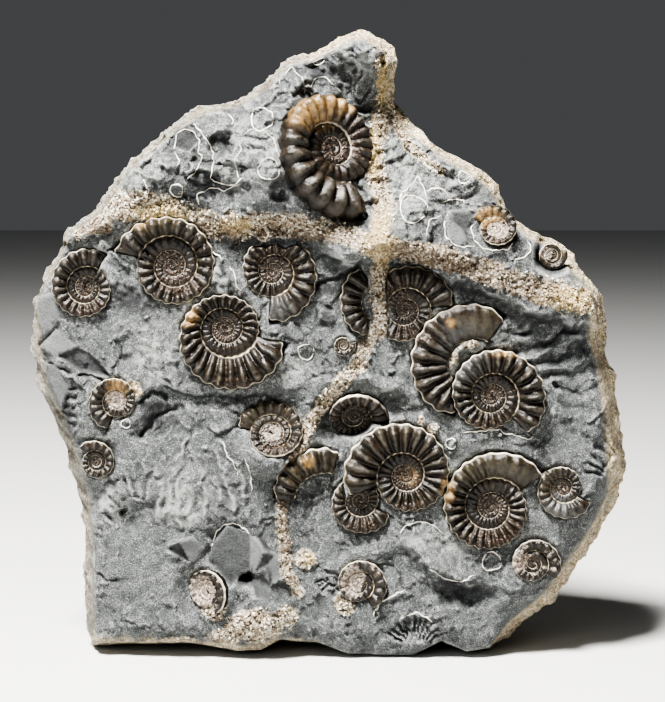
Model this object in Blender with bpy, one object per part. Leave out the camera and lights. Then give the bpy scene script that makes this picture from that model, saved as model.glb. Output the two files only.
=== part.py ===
"""A block of grey mudstone with a cluster of small fossil ammonites, standing upright on its cut foot.

All sizes are in millimetres until a mesh is made. X is to the right, Z is up, and the face with the
fossils looks along -Y. "Out" is the distance of a point in front of the block's middle plane.
"""
import math

import bmesh
import bpy
import numpy as np
from mathutils import Matrix
from mathutils import Vector
from mathutils import noise
from mathutils.geometry import delaunay_2d_cdt

MM = 0.001
GAP = 0.3

# The frame's origin, under the middle of the whole on the foot, in the block's own measure
FOOT_LEVEL = -2.6
ORIGIN = Vector((-0.41, -2.21, FOOT_LEVEL))

# The block
FACE_OUT = 19.5
FACE_LEAN = 0.025
FACE_CROWN = 0.0006
FACE_SEED = 3.0
BACK_CROWN = 0.0009
BACK_OUT_FOOT = 23.0
BACK_OUT_PEAK = 13.0
BACK_SEED = 8.0
BACK_LEVEL_TO = 12.0
RIM_OUT = 3.0
RIM_GROWTH = 1.03
RIM_SINK = 3.8
FOOT_TOP = 4.5
FOOT_FRONT = 14.0
FOOT_RECEDE = 3.5
PEAK_HEIGHT = 156.0
FRONT_INSET = 2.3
FOOT_LIP_INSET = 0.3
BACK_INSET = 3.5
FLANK_SHARE = 0.55
FLANK_INSET = 1.2
FLANK_SEED = 5.0
EDGE_ROUND = 6.0
EDGE_DROP = 3.0
FRONT_CELL = 5.6
BACK_CELL = 14.0
CLEAR_OF_EDGE = 0.3
CLEAR_OF_FORM = 0.3
CLEAR_OF_CELL = 0.55

# Broken ground: the size of its lumps and how far they stand out, on the face, the back and the flanks
FACE_LUMP = 12.0
FACE_ROUGH = 1.1
BACK_LUMP = 24.0
BACK_ROUGH = 2.6
FLANK_LUMP = 15.0
FLANK_ROUGH = 1.6

# The edge of the block as it shows from the front, from the peak round by the right
EDGE_RIGHT = [
    (7, 155.3), (14, 151.5), (15.8, 149), (14.7, 138), (19.7, 132), (27.5, 125.7), (36, 121.5), (41, 117),
    (44.5, 110), (50.5, 105.5), (57, 102.5), (61.5, 96.5), (66.5, 91.5), (68.2, 85), (68.3, 76),
    (71, 67), (73, 54), (74.2, 47), (71.8, 38.5), (67, 28.5), (60, 18.3), (55, 12), (46, 5), (40, -0.5),
]
EDGE_FOOT = [
    (34, -1.5), (27.5, 1.5), (20.5, -2.4), (12, -2.2), (4, -2), (-3.5, 1), (-13, 2), (-18, -1), (-25, -1),
    (-36, 0.8), (-50, 0.9), (-60.5, 0.4),
]
EDGE_LEFT = [
    (-62.5, 10), (-62.4, 25), (-63, 36), (-66.5, 50), (-70.5, 60.5), (-73.5, 67), (-75, 78), (-74.6, 88),
    (-70.5, 96), (-66, 105), (-58.7, 112), (-52, 121.5), (-45, 127.5), (-39, 133), (-32, 136.6),
    (-23, 138.5), (-17, 142.5), (-11.5, 148.6), (-4.5, 150.2), (1.5, 153.4),
]

# The lower edges of the two proud ledges and of a low one near the foot. LEDGES adds each one's step up
# and how far it reaches before it fades.
LEFT_LEDGE = [(-66, 103), (-54, 106.5), (-47, 105.5), (-34, 104), (-22, 102.5), (-8, 102.5), (4, 97)]
RIGHT_LEDGE = [(14, 96.5), (24, 94.5), (35, 92), (45, 86.5), (56, 83), (68, 81)]
LOW_LEDGE = [(18, 27.5), (25, 20.5), (32, 18), (37, 18.5), (44, 21)]
LEDGES = [(LEFT_LEDGE, 4.4, 34.0), (RIGHT_LEDGE, 4.4, 26.0), (LOW_LEDGE, 2.6, 9.0)]
LEDGE_FOOT_WIDTH = 1.2
LEDGE_POINT_OFF = 1.3

# Bumps and hollows of the face: centre x and z, half sizes, turn in degrees, and height (hollows below 0).
# Each is level to SWELL_TOP of its half size and gone at SWELL_FOOT.
SWELL_TOP = 0.25
SWELL_FOOT = 1.25
SWELLS = [
    (9.5, 60.5, 14.0, 4.2, -4, -4.0),
    (10.5, 66.8, 14.0, 3.2, -4, 2.6),
    (-12.0, 116.0, 3.6, 4.0, 0, -3.2),
    (-27.5, 116.5, 4.0, 4.5, 0, -2.2),
    (-48.0, 88.0, 11.0, 5.0, 0, -2.0),
    (-25.5, 91.5, 4.6, 8.5, 20, 2.4),
    (-28.0, 64.0, 16.0, 2.6, 0, -2.0),
    (-45.0, 57.0, 9.0, 5.0, 30, -1.6),
    (-26.5, 24.5, 7.5, 8.5, 0, -2.4),
    (-37.5, 26.0, 4.5, 4.0, 0, 1.6),
    (-15.5, 22.5, 4.5, 7.0, 0, 1.8),
    (-21.5, 17.5, 2.6, 2.4, 0, -3.0),
    (-19.0, 7.0, 10.0, 6.0, 0, 1.5),
    (-6.5, 37.5, 6.0, 5.5, 0, -3.0),
    (27.0, 25.5, 13.0, 5.5, -32, 2.4),
    (33.0, 14.5, 10.0, 3.2, -8, -2.6),
    (48.0, 17.0, 5.5, 2.8, 0, 1.8),
    (20.8, 5.5, 5.0, 3.6, 0, -1.6),
    (60.0, 70.0, 9.0, 12.0, 0, -1.2),
    (-52.0, 33.0, 5.0, 4.5, 0, -1.6),
    (33.0, 110.0, 8.0, 4.0, -15, -1.2),
    (12.6, 148.0, 1.8, 3.0, 0, -2.4),
    (-2.5, 145.0, 3.5, 2.4, -25, -1.8),
    (-60.0, 28.0, 3.0, 9.0, 0, 0.8),
]

# The grey mould of a lost shell at the peak: a raised ring with ribs round it
MOULD_AT = (7.0, 149.6)
MOULD_RING = 3.4
MOULD_RING_WIDTH = 1.1
MOULD_RIB_TOP = 5.4
MOULD_REACH = 6.6
MOULD_RIBS = 11
MOULD_HEIGHT = 1.3

# The shells. mouth is the direction of the shell's opening in degrees, hand is 1 where it grows
# anticlockwise as seen, seam is the next whorl's size, and flare is the power by which the last turn opens.
SHELLS = {
    "ammonite_crest": dict(at=(0.5, 126.5), radius=19.5, mouth=-64, hand=1, seam=0.48, ribs=16,
                           tilt=37, lean=26, level=16.5),
    "ammonite_left_edge": dict(at=(-61.9, 91.4), radius=10.2, mouth=56, hand=-1, seam=0.55, ribs=14),
    "ammonite_upper_left": dict(at=(-40.0, 97.0), radius=16.75, mouth=166, hand=1, seam=0.51, flare=0.45,
                                ribs=16),
    "ammonite_under_ledge": dict(at=(-14.8, 95.5), radius=13.0, mouth=-95, hand=-1, seam=0.476, ribs=15,
                                 keep=[(0, -1, -101.8)]),
    "ammonite_large_left": dict(at=(-26.5, 79.8), radius=15.5, mouth=-7, hand=1, seam=0.526, ribs=17),
    "ammonite_parted_right": dict(at=(18.3, 86.0), radius=12.7, mouth=5, hand=-1, seam=0.5, ribs=16,
                                  keep=[(1, 0, 14.0)]),
    "ammonite_parted_left": dict(at=(12.8, 87.2), radius=11.8, mouth=122, hand=-1, seam=0.5, ribs=18,
                                 span=0.33, keep=[(-1, 0, -9.6)]),
    "ammonite_right_behind": dict(at=(34.8, 71.8), radius=15.7, mouth=55, hand=-1, seam=0.47, flare=2.5,
                                  ribs=16, span=0.55),
    "ammonite_right_front": dict(at=(40.0, 64.3), radius=13.7, mouth=-46, hand=-1, seam=0.53, flare=1.35,
                                 ribs=17),
    "ammonite_sunken": dict(at=(5.6, 58.4), radius=9.0, mouth=-15, hand=-1, seam=0.5, ribs=12,
                            tilt=28, lean=-90, level=13.5),
    "ammonite_middle_front": dict(at=(18.3, 44.3), radius=15.8, mouth=200, hand=1, seam=0.46, flare=1.2,
                                  ribs=17),
    "ammonite_middle_behind": dict(at=(6.8, 38.0), radius=9.1, mouth=-25, hand=1, seam=0.5, ribs=14),
    "ammonite_middle_crescent": dict(at=(-2.5, 36.8), radius=15.0, mouth=72, hand=-1, seam=0.55, ribs=18,
                                     span=0.28),
    "ammonite_lower_right": dict(at=(40.0, 36.0), radius=17.0, mouth=32, hand=-1, seam=0.5, flare=0.7,
                                 ribs=17),
    "ammonite_small_right": dict(at=(58.2, 41.0), radius=8.5, mouth=-28, hand=1, seam=0.5, ribs=13),
    "ammonite_worn_middle": dict(at=(-14.8, 55.0), radius=9.4, mouth=170, hand=1, seam=0.6, ribs=12,
                                 tilt=32, lean=90),
    "ammonite_golden_left": dict(at=(-54.2, 63.0), radius=7.8, mouth=-107, hand=1, seam=0.5, ribs=12),
    "ammonite_small_left": dict(at=(-59.6, 47.5), radius=6.2, mouth=140, hand=1, seam=0.55, ribs=10),
    "ammonite_tiny": dict(at=(2.8, 77.2), radius=3.2, mouth=20, hand=1, seam=0.55, ribs=7),
    "ammonite_worn_right": dict(at=(40.5, 106.3), radius=6.6, mouth=150, hand=1, seam=0.55, ribs=10,
                                tilt=25, lean=90),
    "ammonite_right_shoulder": dict(at=(55.2, 99.6), radius=4.2, mouth=20, hand=1, seam=0.6, ribs=8,
                                    level=13.0),
    "ammonite_broken_bottom": dict(at=(6.7, 17.0), radius=7.6, mouth=-60, hand=-1, seam=0.55, ribs=11),
    "ammonite_worn_bottom": dict(at=(-31.8, 15.0), radius=6.6, mouth=-60, hand=-1, seam=0.6, ribs=10,
                                 tilt=30, lean=180),
    "ammonite_broken_right": dict(at=(50.8, 21.8), radius=7.4, mouth=-35, hand=-1, seam=0.55, ribs=11),
}
# Where two shells meet, the second is cut away round the first
OVERLAPS = [
    ("ammonite_right_front", "ammonite_right_behind"),
    ("ammonite_middle_front", "ammonite_middle_behind"),
    ("ammonite_middle_front", "ammonite_middle_crescent"),
    ("ammonite_middle_behind", "ammonite_middle_crescent"),
    ("ammonite_middle_front", "ammonite_sunken"),
    ("ammonite_lower_right", "ammonite_small_right"),
    ("ammonite_large_left", "ammonite_upper_left"),
    ("ammonite_large_left", "ammonite_under_ledge"),
    ("ammonite_lower_right", "ammonite_middle_front"),
    ("ammonite_right_behind", "ammonite_parted_right"),
    ("ammonite_lower_right", "ammonite_broken_right"),
    ("ammonite_worn_right", "ammonite_right_shoulder"),
    ("ammonite_left_edge", "ammonite_upper_left"),
]
SHELL_THICKNESS = 0.25
BURIAL = 0.16
BURIAL_LEAST = 1.3
RIM_HEIGHT = 0.12
TROUGH_DEPTH = 0.30
RIB_SCALLOP = 0.035
CREST_PLACE = 0.62
SECOND_WHORL_FROM = 8.6
SHELL_RAISE = 0.2
END_ROOM = 0.39
SIDE_ROOM = 0.585
POCKET_REACH = 14.0
BED_LEVEL_TO = 0.8
BED_REACH = 1.35
BED_HOLD = 0.6


def smooth_step(low, high, value):
    t = np.clip((value - low) / (high - low), 0.0, 1.0)
    return t * t * (3.0 - 2.0 * t)


def distance_to_line(x, z, line):
    """Distance from points to a line of straight runs, and the side: above 0 where a point is over it."""
    best = np.full(np.shape(x), 1e9)
    side = np.zeros(np.shape(x))
    for (ax, az), (bx, bz) in zip(line[:-1], line[1:]):
        run_x, run_z = bx - ax, bz - az
        length = math.hypot(run_x, run_z)
        along = np.clip(((x - ax) * run_x + (z - az) * run_z) / length ** 2, 0.0, 1.0)
        gap_x, gap_z = x - ax - along * run_x, z - az - along * run_z
        distance = np.hypot(gap_x, gap_z)
        over = run_x * gap_z - run_z * gap_x
        side = np.where(distance < best, np.sign(over), side)
        best = np.minimum(distance, best)
    return best, side


def ledge_height(x, z, line, step, fade):
    """A step up above a line, fading out away from its ends."""
    distance, side = distance_to_line(x, z, line)
    rise = smooth_step(-LEDGE_FOOT_WIDTH, LEDGE_FOOT_WIDTH, distance * side)
    return step * rise * (1.0 - smooth_step(fade * 0.5, fade, distance))


def broken_ground(x, z, size, seed):
    """Lumps between about -1 and 1, the same each time."""
    flat = zip(np.ravel(x), np.ravel(z))
    places = [Vector((px / size, pz / size, seed)) for px, pz in flat]
    lumps = [noise.noise(place) + 0.5 * noise.noise(place * 2.1) for place in places]
    return np.reshape(lumps, np.shape(x))


def mould_height(x, z):
    """The raised ring and ribs of the mould at the peak."""
    across, up = x - MOULD_AT[0], z - MOULD_AT[1]
    reach = np.hypot(across, up)
    ring = np.exp(-((reach - MOULD_RING) / MOULD_RING_WIDTH) ** 2)
    ribs = 0.5 + 0.5 * np.cos(MOULD_RIBS * np.arctan2(up, across))
    outside = smooth_step(MOULD_RING, MOULD_RING + MOULD_RING_WIDTH, reach)
    within = 1.0 - smooth_step(MOULD_RIB_TOP, MOULD_REACH, reach)
    return MOULD_HEIGHT * np.maximum(ring, ribs * outside * within)


def face_form(x, z):
    """How far out the block's face lies, before the shells press into it."""
    out = FACE_OUT - FACE_LEAN * z - FACE_CROWN * x ** 2
    out = out + FACE_ROUGH * broken_ground(x, z, FACE_LUMP, FACE_SEED)
    for line, step, fade in LEDGES:
        out = out + ledge_height(x, z, line, step, fade)
    out = out + mould_height(x, z)
    for centre_x, centre_z, half_width, half_height, turn, height in SWELLS:
        angle = math.radians(turn)
        across = (x - centre_x) * math.cos(angle) + (z - centre_z) * math.sin(angle)
        up = -(x - centre_x) * math.sin(angle) + (z - centre_z) * math.cos(angle)
        reach = np.sqrt((across / half_width) ** 2 + (up / half_height) ** 2)
        out = out + height * (1.0 - smooth_step(SWELL_TOP, SWELL_FOOT, reach))
    return out


def shell_turn(shell):
    """The turn that lays a shell, made flat with +Z out of it, on the face."""
    lean = math.radians(shell.get("lean", 0.0))
    axis = Vector((-math.sin(lean), math.cos(lean), 0.0))
    tilt = Matrix.Rotation(math.radians(shell.get("tilt", 0.0)), 4, axis)
    return Matrix.Rotation(math.pi / 2, 4, "X") @ tilt


def shell_level(shell):
    """How far out the middle of a shell lies."""
    if "level" in shell:
        return shell["level"]
    x, z = shell["at"]
    return float(face_form(np.array(x), np.array(z))) + SHELL_RAISE


def bed_in_shells(x, z, out):
    """Brings the face to each shell's own plane round that shell."""
    for shell in SHELLS.values():
        centre_x, centre_z = shell["at"]
        normal = (shell_turn(shell).to_3x3() @ Vector((0.0, 0.0, 1.0)))
        distance = np.hypot(x - centre_x, z - centre_z) / shell["radius"]
        held = np.minimum(1.0, BED_HOLD / np.maximum(distance, 0.01))
        slope = ((x - centre_x) * normal.x + (z - centre_z) * normal.z) / normal.y
        plane = shell_level(shell) + slope * held
        weight = 1.0 - smooth_step(BED_LEVEL_TO, BED_REACH, distance)
        out = out + (plane - out) * weight
    return out


def edge_distance(x, z, edge):
    closed = edge + edge[:1]
    return distance_to_line(x, z, closed)[0]


def face_out(x, z, edge):
    """The face of the block: its form, its shells' beds and its rounded edge."""
    out = bed_in_shells(x, z, face_form(x, z))
    near = np.clip(1.0 - edge_distance(x, z, edge) / EDGE_ROUND, 0.0, 1.0)
    return out - EDGE_DROP * near ** 2


def back_out(x, z):
    """The back of the block: broken, and leaning forward to the peak."""
    share = z / PEAK_HEIGHT
    out = BACK_OUT_FOOT + (BACK_OUT_PEAK - BACK_OUT_FOOT) * share
    lumps = BACK_ROUGH * broken_ground(x, z, BACK_LUMP, BACK_SEED)
    return out + lumps * smooth_step(FOOT_LEVEL, BACK_LEVEL_TO, z) - BACK_CROWN * x ** 2


def offset_loop(loop, inset_of):
    """Moves each point of a clockwise loop inwards by its own amount."""
    moved = []
    for index, (x, z) in enumerate(loop):
        before = Vector(loop[index - 1])
        after = Vector(loop[(index + 1) % len(loop)])
        along = (after - before).normalized()
        inset = inset_of(x, z)
        moved.append((x + along.y * inset, z - along.x * inset))
    return moved


def rim_loop(edge):
    """The edge at mid-depth: wider than the face's, and cut level at the foot."""
    loop = []
    for x, z in edge:
        height = FOOT_LEVEL if z < FOOT_TOP else z * RIM_GROWTH - RIM_SINK
        loop.append((x * RIM_GROWTH, height))
    return loop


def inside(point, loop):
    x, z = point
    crossings = 0
    for (ax, az), (bx, bz) in zip(loop, loop[1:] + loop[:1]):
        if (az > z) != (bz > z) and x < ax + (z - az) * (bx - ax) / (bz - az):
            crossings += 1
    return crossings % 2 == 1


def grid_points(loop, cell, extra):
    """Points in staggered rows inside a loop, with extra points along the ledges."""
    xs = [p[0] for p in loop]
    zs = [p[1] for p in loop]
    points = list(extra)
    row = 0
    z = min(zs)
    while z < max(zs):
        x = min(xs) + (row % 2) * cell / 2
        while x < max(xs):
            points.append((x, z))
            x += cell
        z += cell * math.sqrt(0.75)
        row += 1
    kept = []
    for index, point in enumerate(points):
        room = cell * (CLEAR_OF_FORM if index < len(extra) else CLEAR_OF_CELL)
        if not inside(point, loop):
            continue
        if edge_distance(np.array(point[0]), np.array(point[1]), loop) < CLEAR_OF_EDGE * cell:
            continue
        if all(math.dist(point, other) > room for other in kept):
            kept.append(point)
    return kept


def form_points():
    """Points on the mould at the peak, and pairs just below and just above each ledge line."""
    points = [MOULD_AT]
    for step in range(2 * MOULD_RIBS):
        angle = step * math.pi / MOULD_RIBS
        for reach in (MOULD_RING, MOULD_RIB_TOP)[step % 2:]:
            points.append((MOULD_AT[0] + reach * math.cos(angle), MOULD_AT[1] + reach * math.sin(angle)))
    for line, _, _ in LEDGES:
        for (ax, az), (bx, bz) in zip(line[:-1], line[1:]):
            length = math.hypot(bx - ax, bz - az)
            steps = max(1, round(length / FRONT_CELL))
            for step in range(steps):
                share = (step + 0.5) / steps
                x, z = ax + (bx - ax) * share, az + (bz - az) * share
                nx, nz = -(bz - az) / length, (bx - ax) / length
                for side in (-LEDGE_POINT_OFF, LEDGE_POINT_OFF):
                    points.append((x + nx * side, z + nz * side))
    return points


def fill_loop(loop, points):
    """Triangles that fill a loop and use all the points inside it."""
    flat = [Vector(p) for p in loop + points]
    edges = [(i, (i + 1) % len(loop)) for i in range(len(loop))]
    verts, _, faces, _, _, _ = delaunay_2d_cdt(flat, edges, [], 1, 1e-6)
    return [(v.x, v.y) for v in verts], faces


def flank_inset(x, z):
    """How far the flank is broken in behind the rim."""
    if z == FOOT_LEVEL:
        return 0.0
    lumps = float(broken_ground(np.array(x), np.array(z), FLANK_LUMP, FLANK_SEED))
    return FLANK_INSET + FLANK_ROUGH * lumps


def rock_mesh():
    edge = EDGE_RIGHT + EDGE_FOOT + EDGE_LEFT
    lip = offset_loop(edge, lambda x, z: FOOT_LIP_INSET if z < FOOT_TOP else FRONT_INSET)
    rim = rim_loop(edge)
    back = offset_loop(rim, lambda x, z: 0.0 if z == FOOT_LEVEL else BACK_INSET)

    mesh = bmesh.new()
    front_points, front_faces = fill_loop(lip, grid_points(lip, FRONT_CELL, form_points()))
    back_points, back_faces = fill_loop(back, grid_points(back, BACK_CELL, []))
    if len(front_points) < len(lip) or len(back_points) < len(back):
        raise ValueError("a loop of the block crosses itself")

    fx, fz = np.array(front_points).T
    front_outs = face_out(fx, fz, lip)
    front = [mesh.verts.new((x, -o, z)) for x, z, o in zip(fx, fz, front_outs)]
    bx, bz = np.array(back_points).T
    back_outs = back_out(bx, bz)
    behind = [mesh.verts.new((x, out, z)) for x, z, out in zip(bx, bz, back_outs)]
    middle = []
    flank = []
    for (_, edge_z), (x, z), (flank_x, flank_z) in zip(edge, rim, offset_loop(rim, flank_inset)):
        rim_out = FOOT_FRONT - FOOT_RECEDE * (edge_z - FOOT_LEVEL) if z == FOOT_LEVEL else RIM_OUT
        out_behind = float(back_out(np.array(x), np.array(z)))
        middle.append(mesh.verts.new((x, -rim_out, z)))
        flank.append(mesh.verts.new((flank_x, FLANK_SHARE * out_behind, flank_z)))

    for face in front_faces:
        mesh.faces.new([front[i] for i in face])
    for face in back_faces:
        mesh.faces.new([behind[i] for i in face])
    count = len(edge)
    for i in range(count):
        j = (i + 1) % count
        mesh.faces.new((front[i], front[j], middle[j], middle[i]))
        mesh.faces.new((middle[i], middle[j], flank[j], flank[i]))
        mesh.faces.new((flank[i], flank[j], behind[j], behind[i]))
    return mesh


def whorl_radius(shell, back):
    """The outer radius at a number of turns back from the mouth."""
    flare = shell.get("flare", 1.0)
    power = back ** flare if back < 1.0 else back
    return shell["radius"] * shell["seam"] ** power


def whorl_point(shell, back, kind, trough):
    """A point of the shell's upper side in its own plane: kind is rim, crest or seam."""
    if kind == "seam":
        return whorl_point(shell, back + 1.0, "rim", trough)
    outer = whorl_radius(shell, back)
    inner = whorl_radius(shell, back + 1.0)
    thickness = SHELL_THICKNESS * outer
    if kind == "rim":
        radius = outer * (1.0 - RIB_SCALLOP) if trough else outer
        height = RIM_HEIGHT * thickness
    else:
        radius = inner + (outer - inner) * CREST_PLACE
        height = thickness * (1.0 - TROUGH_DEPTH) if trough else thickness
    angle = math.radians(shell["mouth"]) - shell["hand"] * back * math.tau
    return (radius * math.cos(angle), radius * math.sin(angle), height)


def burial(shell):
    return max(BURIAL_LEAST, BURIAL * shell["radius"])


def shell_mesh(shell):
    """A closed ribbed shell: the last turn, the turn inside it, and a flat underside."""
    mesh = bmesh.new()
    span = shell.get("span", 1.0)
    sectors = 2 * max(3, round(shell["ribs"] * span))
    depth = -burial(shell)
    whole = span >= 1.0
    fine = shell["radius"] > SECOND_WHORL_FROM
    made = {}

    def vertex(point):
        key = tuple(round(value, 4) for value in point)
        if key not in made:
            made[key] = mesh.verts.new(point)
        return made[key]

    columns = []
    for index in range(sectors + 1):
        back = span * index / sectors
        trough = index % 2 == 1
        rim = whorl_point(shell, back, "rim", trough)
        column = [(rim[0], rim[1], depth), rim, whorl_point(shell, back, "crest", trough)]
        seam = whorl_point(shell, back, "seam", trough)
        column.append(seam)
        if whole and fine:
            column.append(whorl_point(shell, back + 1.0, "crest", trough))
            column.append(whorl_point(shell, back + 1.0, "seam", trough))
        if whole:
            column.append((0.0, 0.0, RIM_HEIGHT))
        else:
            column.append((seam[0], seam[1], depth))
        columns.append([vertex(point) for point in column])

    def face(corners):
        corners = list(dict.fromkeys(corners))
        if len(corners) > 2:
            mesh.faces.new(corners)

    for left, right in zip(columns[:-1], columns[1:]):
        for ring in range(len(left) - 1):
            face((left[ring], right[ring], right[ring + 1], left[ring + 1]))
        if not whole:
            face((left[-1], right[-1], right[0], left[0]))
    first, last = columns[0], columns[-1]
    if whole:
        face([first[0], first[1], first[2], first[3], last[0]])
        face(last[3:] if fine else last[1:])
        face([column[0] for column in columns])
    else:
        face(first)
        face(last)
    return mesh


def pocket_mesh(shell):
    """The room a shell takes in the rock: its outline, a gap wider, from under it to past the face."""
    mesh = bmesh.new()
    span = shell.get("span", 1.0)
    steps = max(3, round(shell["ribs"] * span))
    outline = []
    for index in range(steps + 1):
        back = span * index / steps
        x, y, _ = whorl_point(shell, back, "rim", False)
        outline.append(Vector((x, y)) * (1.0 + SIDE_ROOM / math.hypot(x, y)))
    mouth = math.radians(shell["mouth"])
    forward = Vector((-math.sin(mouth), math.cos(mouth))) * shell["hand"] * END_ROOM
    outline[0] = outline[0] + forward
    if span < 1.0:
        for index in range(steps, -1, -1):
            back = span * index / steps
            x, y, _ = whorl_point(shell, back, "seam", False)
            outline.append(Vector((x, y)) * (1.0 - SIDE_ROOM / math.hypot(x, y)))
        outline[-1] = outline[-1] + forward
        tail = mouth - shell["hand"] * span * math.tau
        backward = Vector((math.sin(tail), -math.cos(tail))) * shell["hand"] * END_ROOM
        outline[steps] = outline[steps] + backward
        outline[steps + 1] = outline[steps + 1] + backward
    else:
        outline[-1] = outline[-1] + forward
    low = [mesh.verts.new((p.x, p.y, -burial(shell) - GAP)) for p in outline]
    high = [mesh.verts.new((p.x, p.y, POCKET_REACH)) for p in outline]
    mesh.faces.new(low)
    mesh.faces.new(high)
    for i in range(len(outline)):
        j = (i + 1) % len(outline)
        mesh.faces.new((low[i], low[j], high[j], high[i]))
    return mesh


def trim(mesh, shell, slack):
    """Cuts a mesh, made in the shell's own plane, along the lines where rock covers the shell."""
    x, z = shell["at"]
    mesh.normal_update()
    bmesh.ops.triangulate(mesh, faces=mesh.faces)
    for normal_x, normal_z, distance in shell.get("keep", []):
        away = normal_x * x + normal_z * z - distance + slack
        geometry = mesh.verts[:] + mesh.edges[:] + mesh.faces[:]
        plane_point = (-normal_x * away, -normal_z * away, 0.0)
        cut = bmesh.ops.bisect_plane(mesh, geom=geometry, plane_co=plane_point, dist=1e-5,
                                     plane_no=(normal_x, normal_z, 0.0), clear_inner=True)
        loose = [item for item in cut["geom_cut"] if isinstance(item, bmesh.types.BMEdge)]
        bmesh.ops.holes_fill(mesh, edges=loose, sides=0)


def material(name, colour, roughness):
    made = bpy.data.materials.new(name)
    made.use_nodes = True
    shader = made.node_tree.nodes["Principled BSDF"]
    shader.inputs["Base Color"].default_value = (*colour, 1.0)
    shader.inputs["Roughness"].default_value = roughness
    shader.inputs["Metallic"].default_value = 0.0
    return made


def finish(mesh, name, turn=Matrix.Identity(4), place=Vector((0.0, 0.0, 0.0))):
    """Makes an object in metres from a mesh in millimetres."""
    bmesh.ops.recalc_face_normals(mesh, faces=mesh.faces)
    bmesh.ops.triangulate(mesh, faces=mesh.faces)
    if mesh.calc_volume(signed=True) < 0.0:
        bmesh.ops.reverse_faces(mesh, faces=mesh.faces)
    bmesh.ops.scale(mesh, vec=(MM, MM, MM), verts=mesh.verts)
    data = bpy.data.meshes.new(name)
    mesh.to_mesh(data)
    mesh.free()
    made = bpy.data.objects.new(name, data)
    made.matrix_world = Matrix.Translation((place - ORIGIN) * MM) @ turn
    bpy.context.collection.objects.link(made)
    return made


def cut_away(target, cutter):
    modifier = target.modifiers.new("cut " + cutter.name, "BOOLEAN")
    modifier.operation = "DIFFERENCE"
    modifier.solver = "EXACT"
    modifier.object = cutter


def build():
    for old in list(bpy.data.objects):
        bpy.data.objects.remove(old, do_unlink=True)
    rock_grey = material("mudstone", (0.23, 0.24, 0.25), 0.85)
    shell_brown = material("fossil_shell", (0.07, 0.05, 0.035), 0.35)

    rock = finish(rock_mesh(), "matrix")
    rock.data.materials.append(rock_grey)
    made = {}
    cutters = {}
    for name, shell in SHELLS.items():
        x, z = shell["at"]
        place = Vector((x, -shell_level(shell), z))
        turn = shell_turn(shell)
        solid = shell_mesh(shell)
        trim(solid, shell, 0.0)
        made[name] = finish(solid, name, turn, place)
        made[name].data.materials.append(shell_brown)
        room = pocket_mesh(shell)
        trim(room, shell, GAP)
        cutters[name] = finish(room, "room_for_" + name, turn, place)
        cutters[name].hide_render = True
        cutters[name].display_type = "WIRE"
        cut_away(rock, cutters[name])
    for upper, lower in OVERLAPS:
        cut_away(made[lower], cutters[upper])


build()
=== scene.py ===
"""The looks of a block of grey mudstone with a cluster of small fossil ammonites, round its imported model."""

import math

import bmesh
import bpy
import numpy as np
from mathutils import Matrix, Vector, noise


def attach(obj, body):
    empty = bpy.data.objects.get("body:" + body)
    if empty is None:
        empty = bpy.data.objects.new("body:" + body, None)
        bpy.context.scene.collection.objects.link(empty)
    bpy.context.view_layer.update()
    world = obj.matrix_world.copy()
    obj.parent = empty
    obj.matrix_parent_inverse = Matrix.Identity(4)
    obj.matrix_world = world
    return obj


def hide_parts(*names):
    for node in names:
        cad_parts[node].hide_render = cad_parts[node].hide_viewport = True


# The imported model
# Sizes below are in millimetres of the block's own measure until a mesh is made: X to the right, Z up, and
# "out" is the distance of a point in front of the block's middle plane, towards -Y.
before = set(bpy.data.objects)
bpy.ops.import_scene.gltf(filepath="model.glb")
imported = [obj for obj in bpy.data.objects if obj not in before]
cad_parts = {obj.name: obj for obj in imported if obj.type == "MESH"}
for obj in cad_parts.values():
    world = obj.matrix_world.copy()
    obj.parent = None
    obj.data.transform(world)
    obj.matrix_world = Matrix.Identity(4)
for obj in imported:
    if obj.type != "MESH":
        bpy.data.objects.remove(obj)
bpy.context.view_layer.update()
MM = 0.001
FOOT_LEVEL = -2.6
ORIGIN = Vector((-0.41, -2.21, FOOT_LEVEL))
bpy.ops.object.select_all(action="DESELECT")


# The camera
# It stands half a metre in front of the face, a little above its middle, and looks slightly down.
CAMERA_DISTANCE = 500.0
CAMERA_RAISED = math.radians(5.0)
CAMERA_AIM = Vector((0.1, -18.0, 75.75))
CAMERA_LENS = 102.56
CAMERA_FILM = 36.0
camera_back = Vector((0.0, -math.cos(CAMERA_RAISED), math.sin(CAMERA_RAISED)))
camera_place = (CAMERA_AIM + CAMERA_DISTANCE * camera_back - ORIGIN) * MM
bpy.ops.object.camera_add(location=camera_place, rotation=(math.pi / 2 - CAMERA_RAISED, 0.0, 0.0))
bpy.context.object.data.lens = CAMERA_LENS
bpy.context.object.data.sensor_width = CAMERA_FILM
bpy.context.scene.camera = bpy.context.object


# The floor and the light
# A pale matt table top, a large soft lamp high in front of the face, and a weak one low beside it.
PAPER = (0.50, 0.50, 0.49, 1.0)
PAPER_ROUGHNESS = 0.9
ROOM_LIGHT = (0.74, 0.76, 0.78, 1.0)
ROOM_STRENGTH = 0.11


def node_material(name):
    """A new material with its shader, as (material, nodes, links, shader)."""
    made = bpy.data.materials.new(name)
    made.use_nodes = True
    nodes = made.node_tree.nodes
    return made, nodes, made.node_tree.links, nodes["Principled BSDF"]


bpy.ops.mesh.primitive_plane_add(size=8.0, location=(0.0, 0.0, 0.0))
floor = bpy.context.object
floor.name = "table_top"
paper, _, _, shader = node_material("pale_paper")
shader.inputs["Base Color"].default_value = PAPER
shader.inputs["Roughness"].default_value = PAPER_ROUGHNESS
floor.data.materials.append(paper)


def add_lamp(name, place, aim, size, power, colour):
    bpy.ops.object.light_add(type="AREA", location=place)
    lamp = bpy.context.object
    lamp.name = name
    lamp.data.size = size
    lamp.data.energy = power
    lamp.data.color = colour
    lamp.rotation_euler = (Vector(place) - Vector(aim)).to_track_quat("Z", "Y").to_euler()


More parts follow.
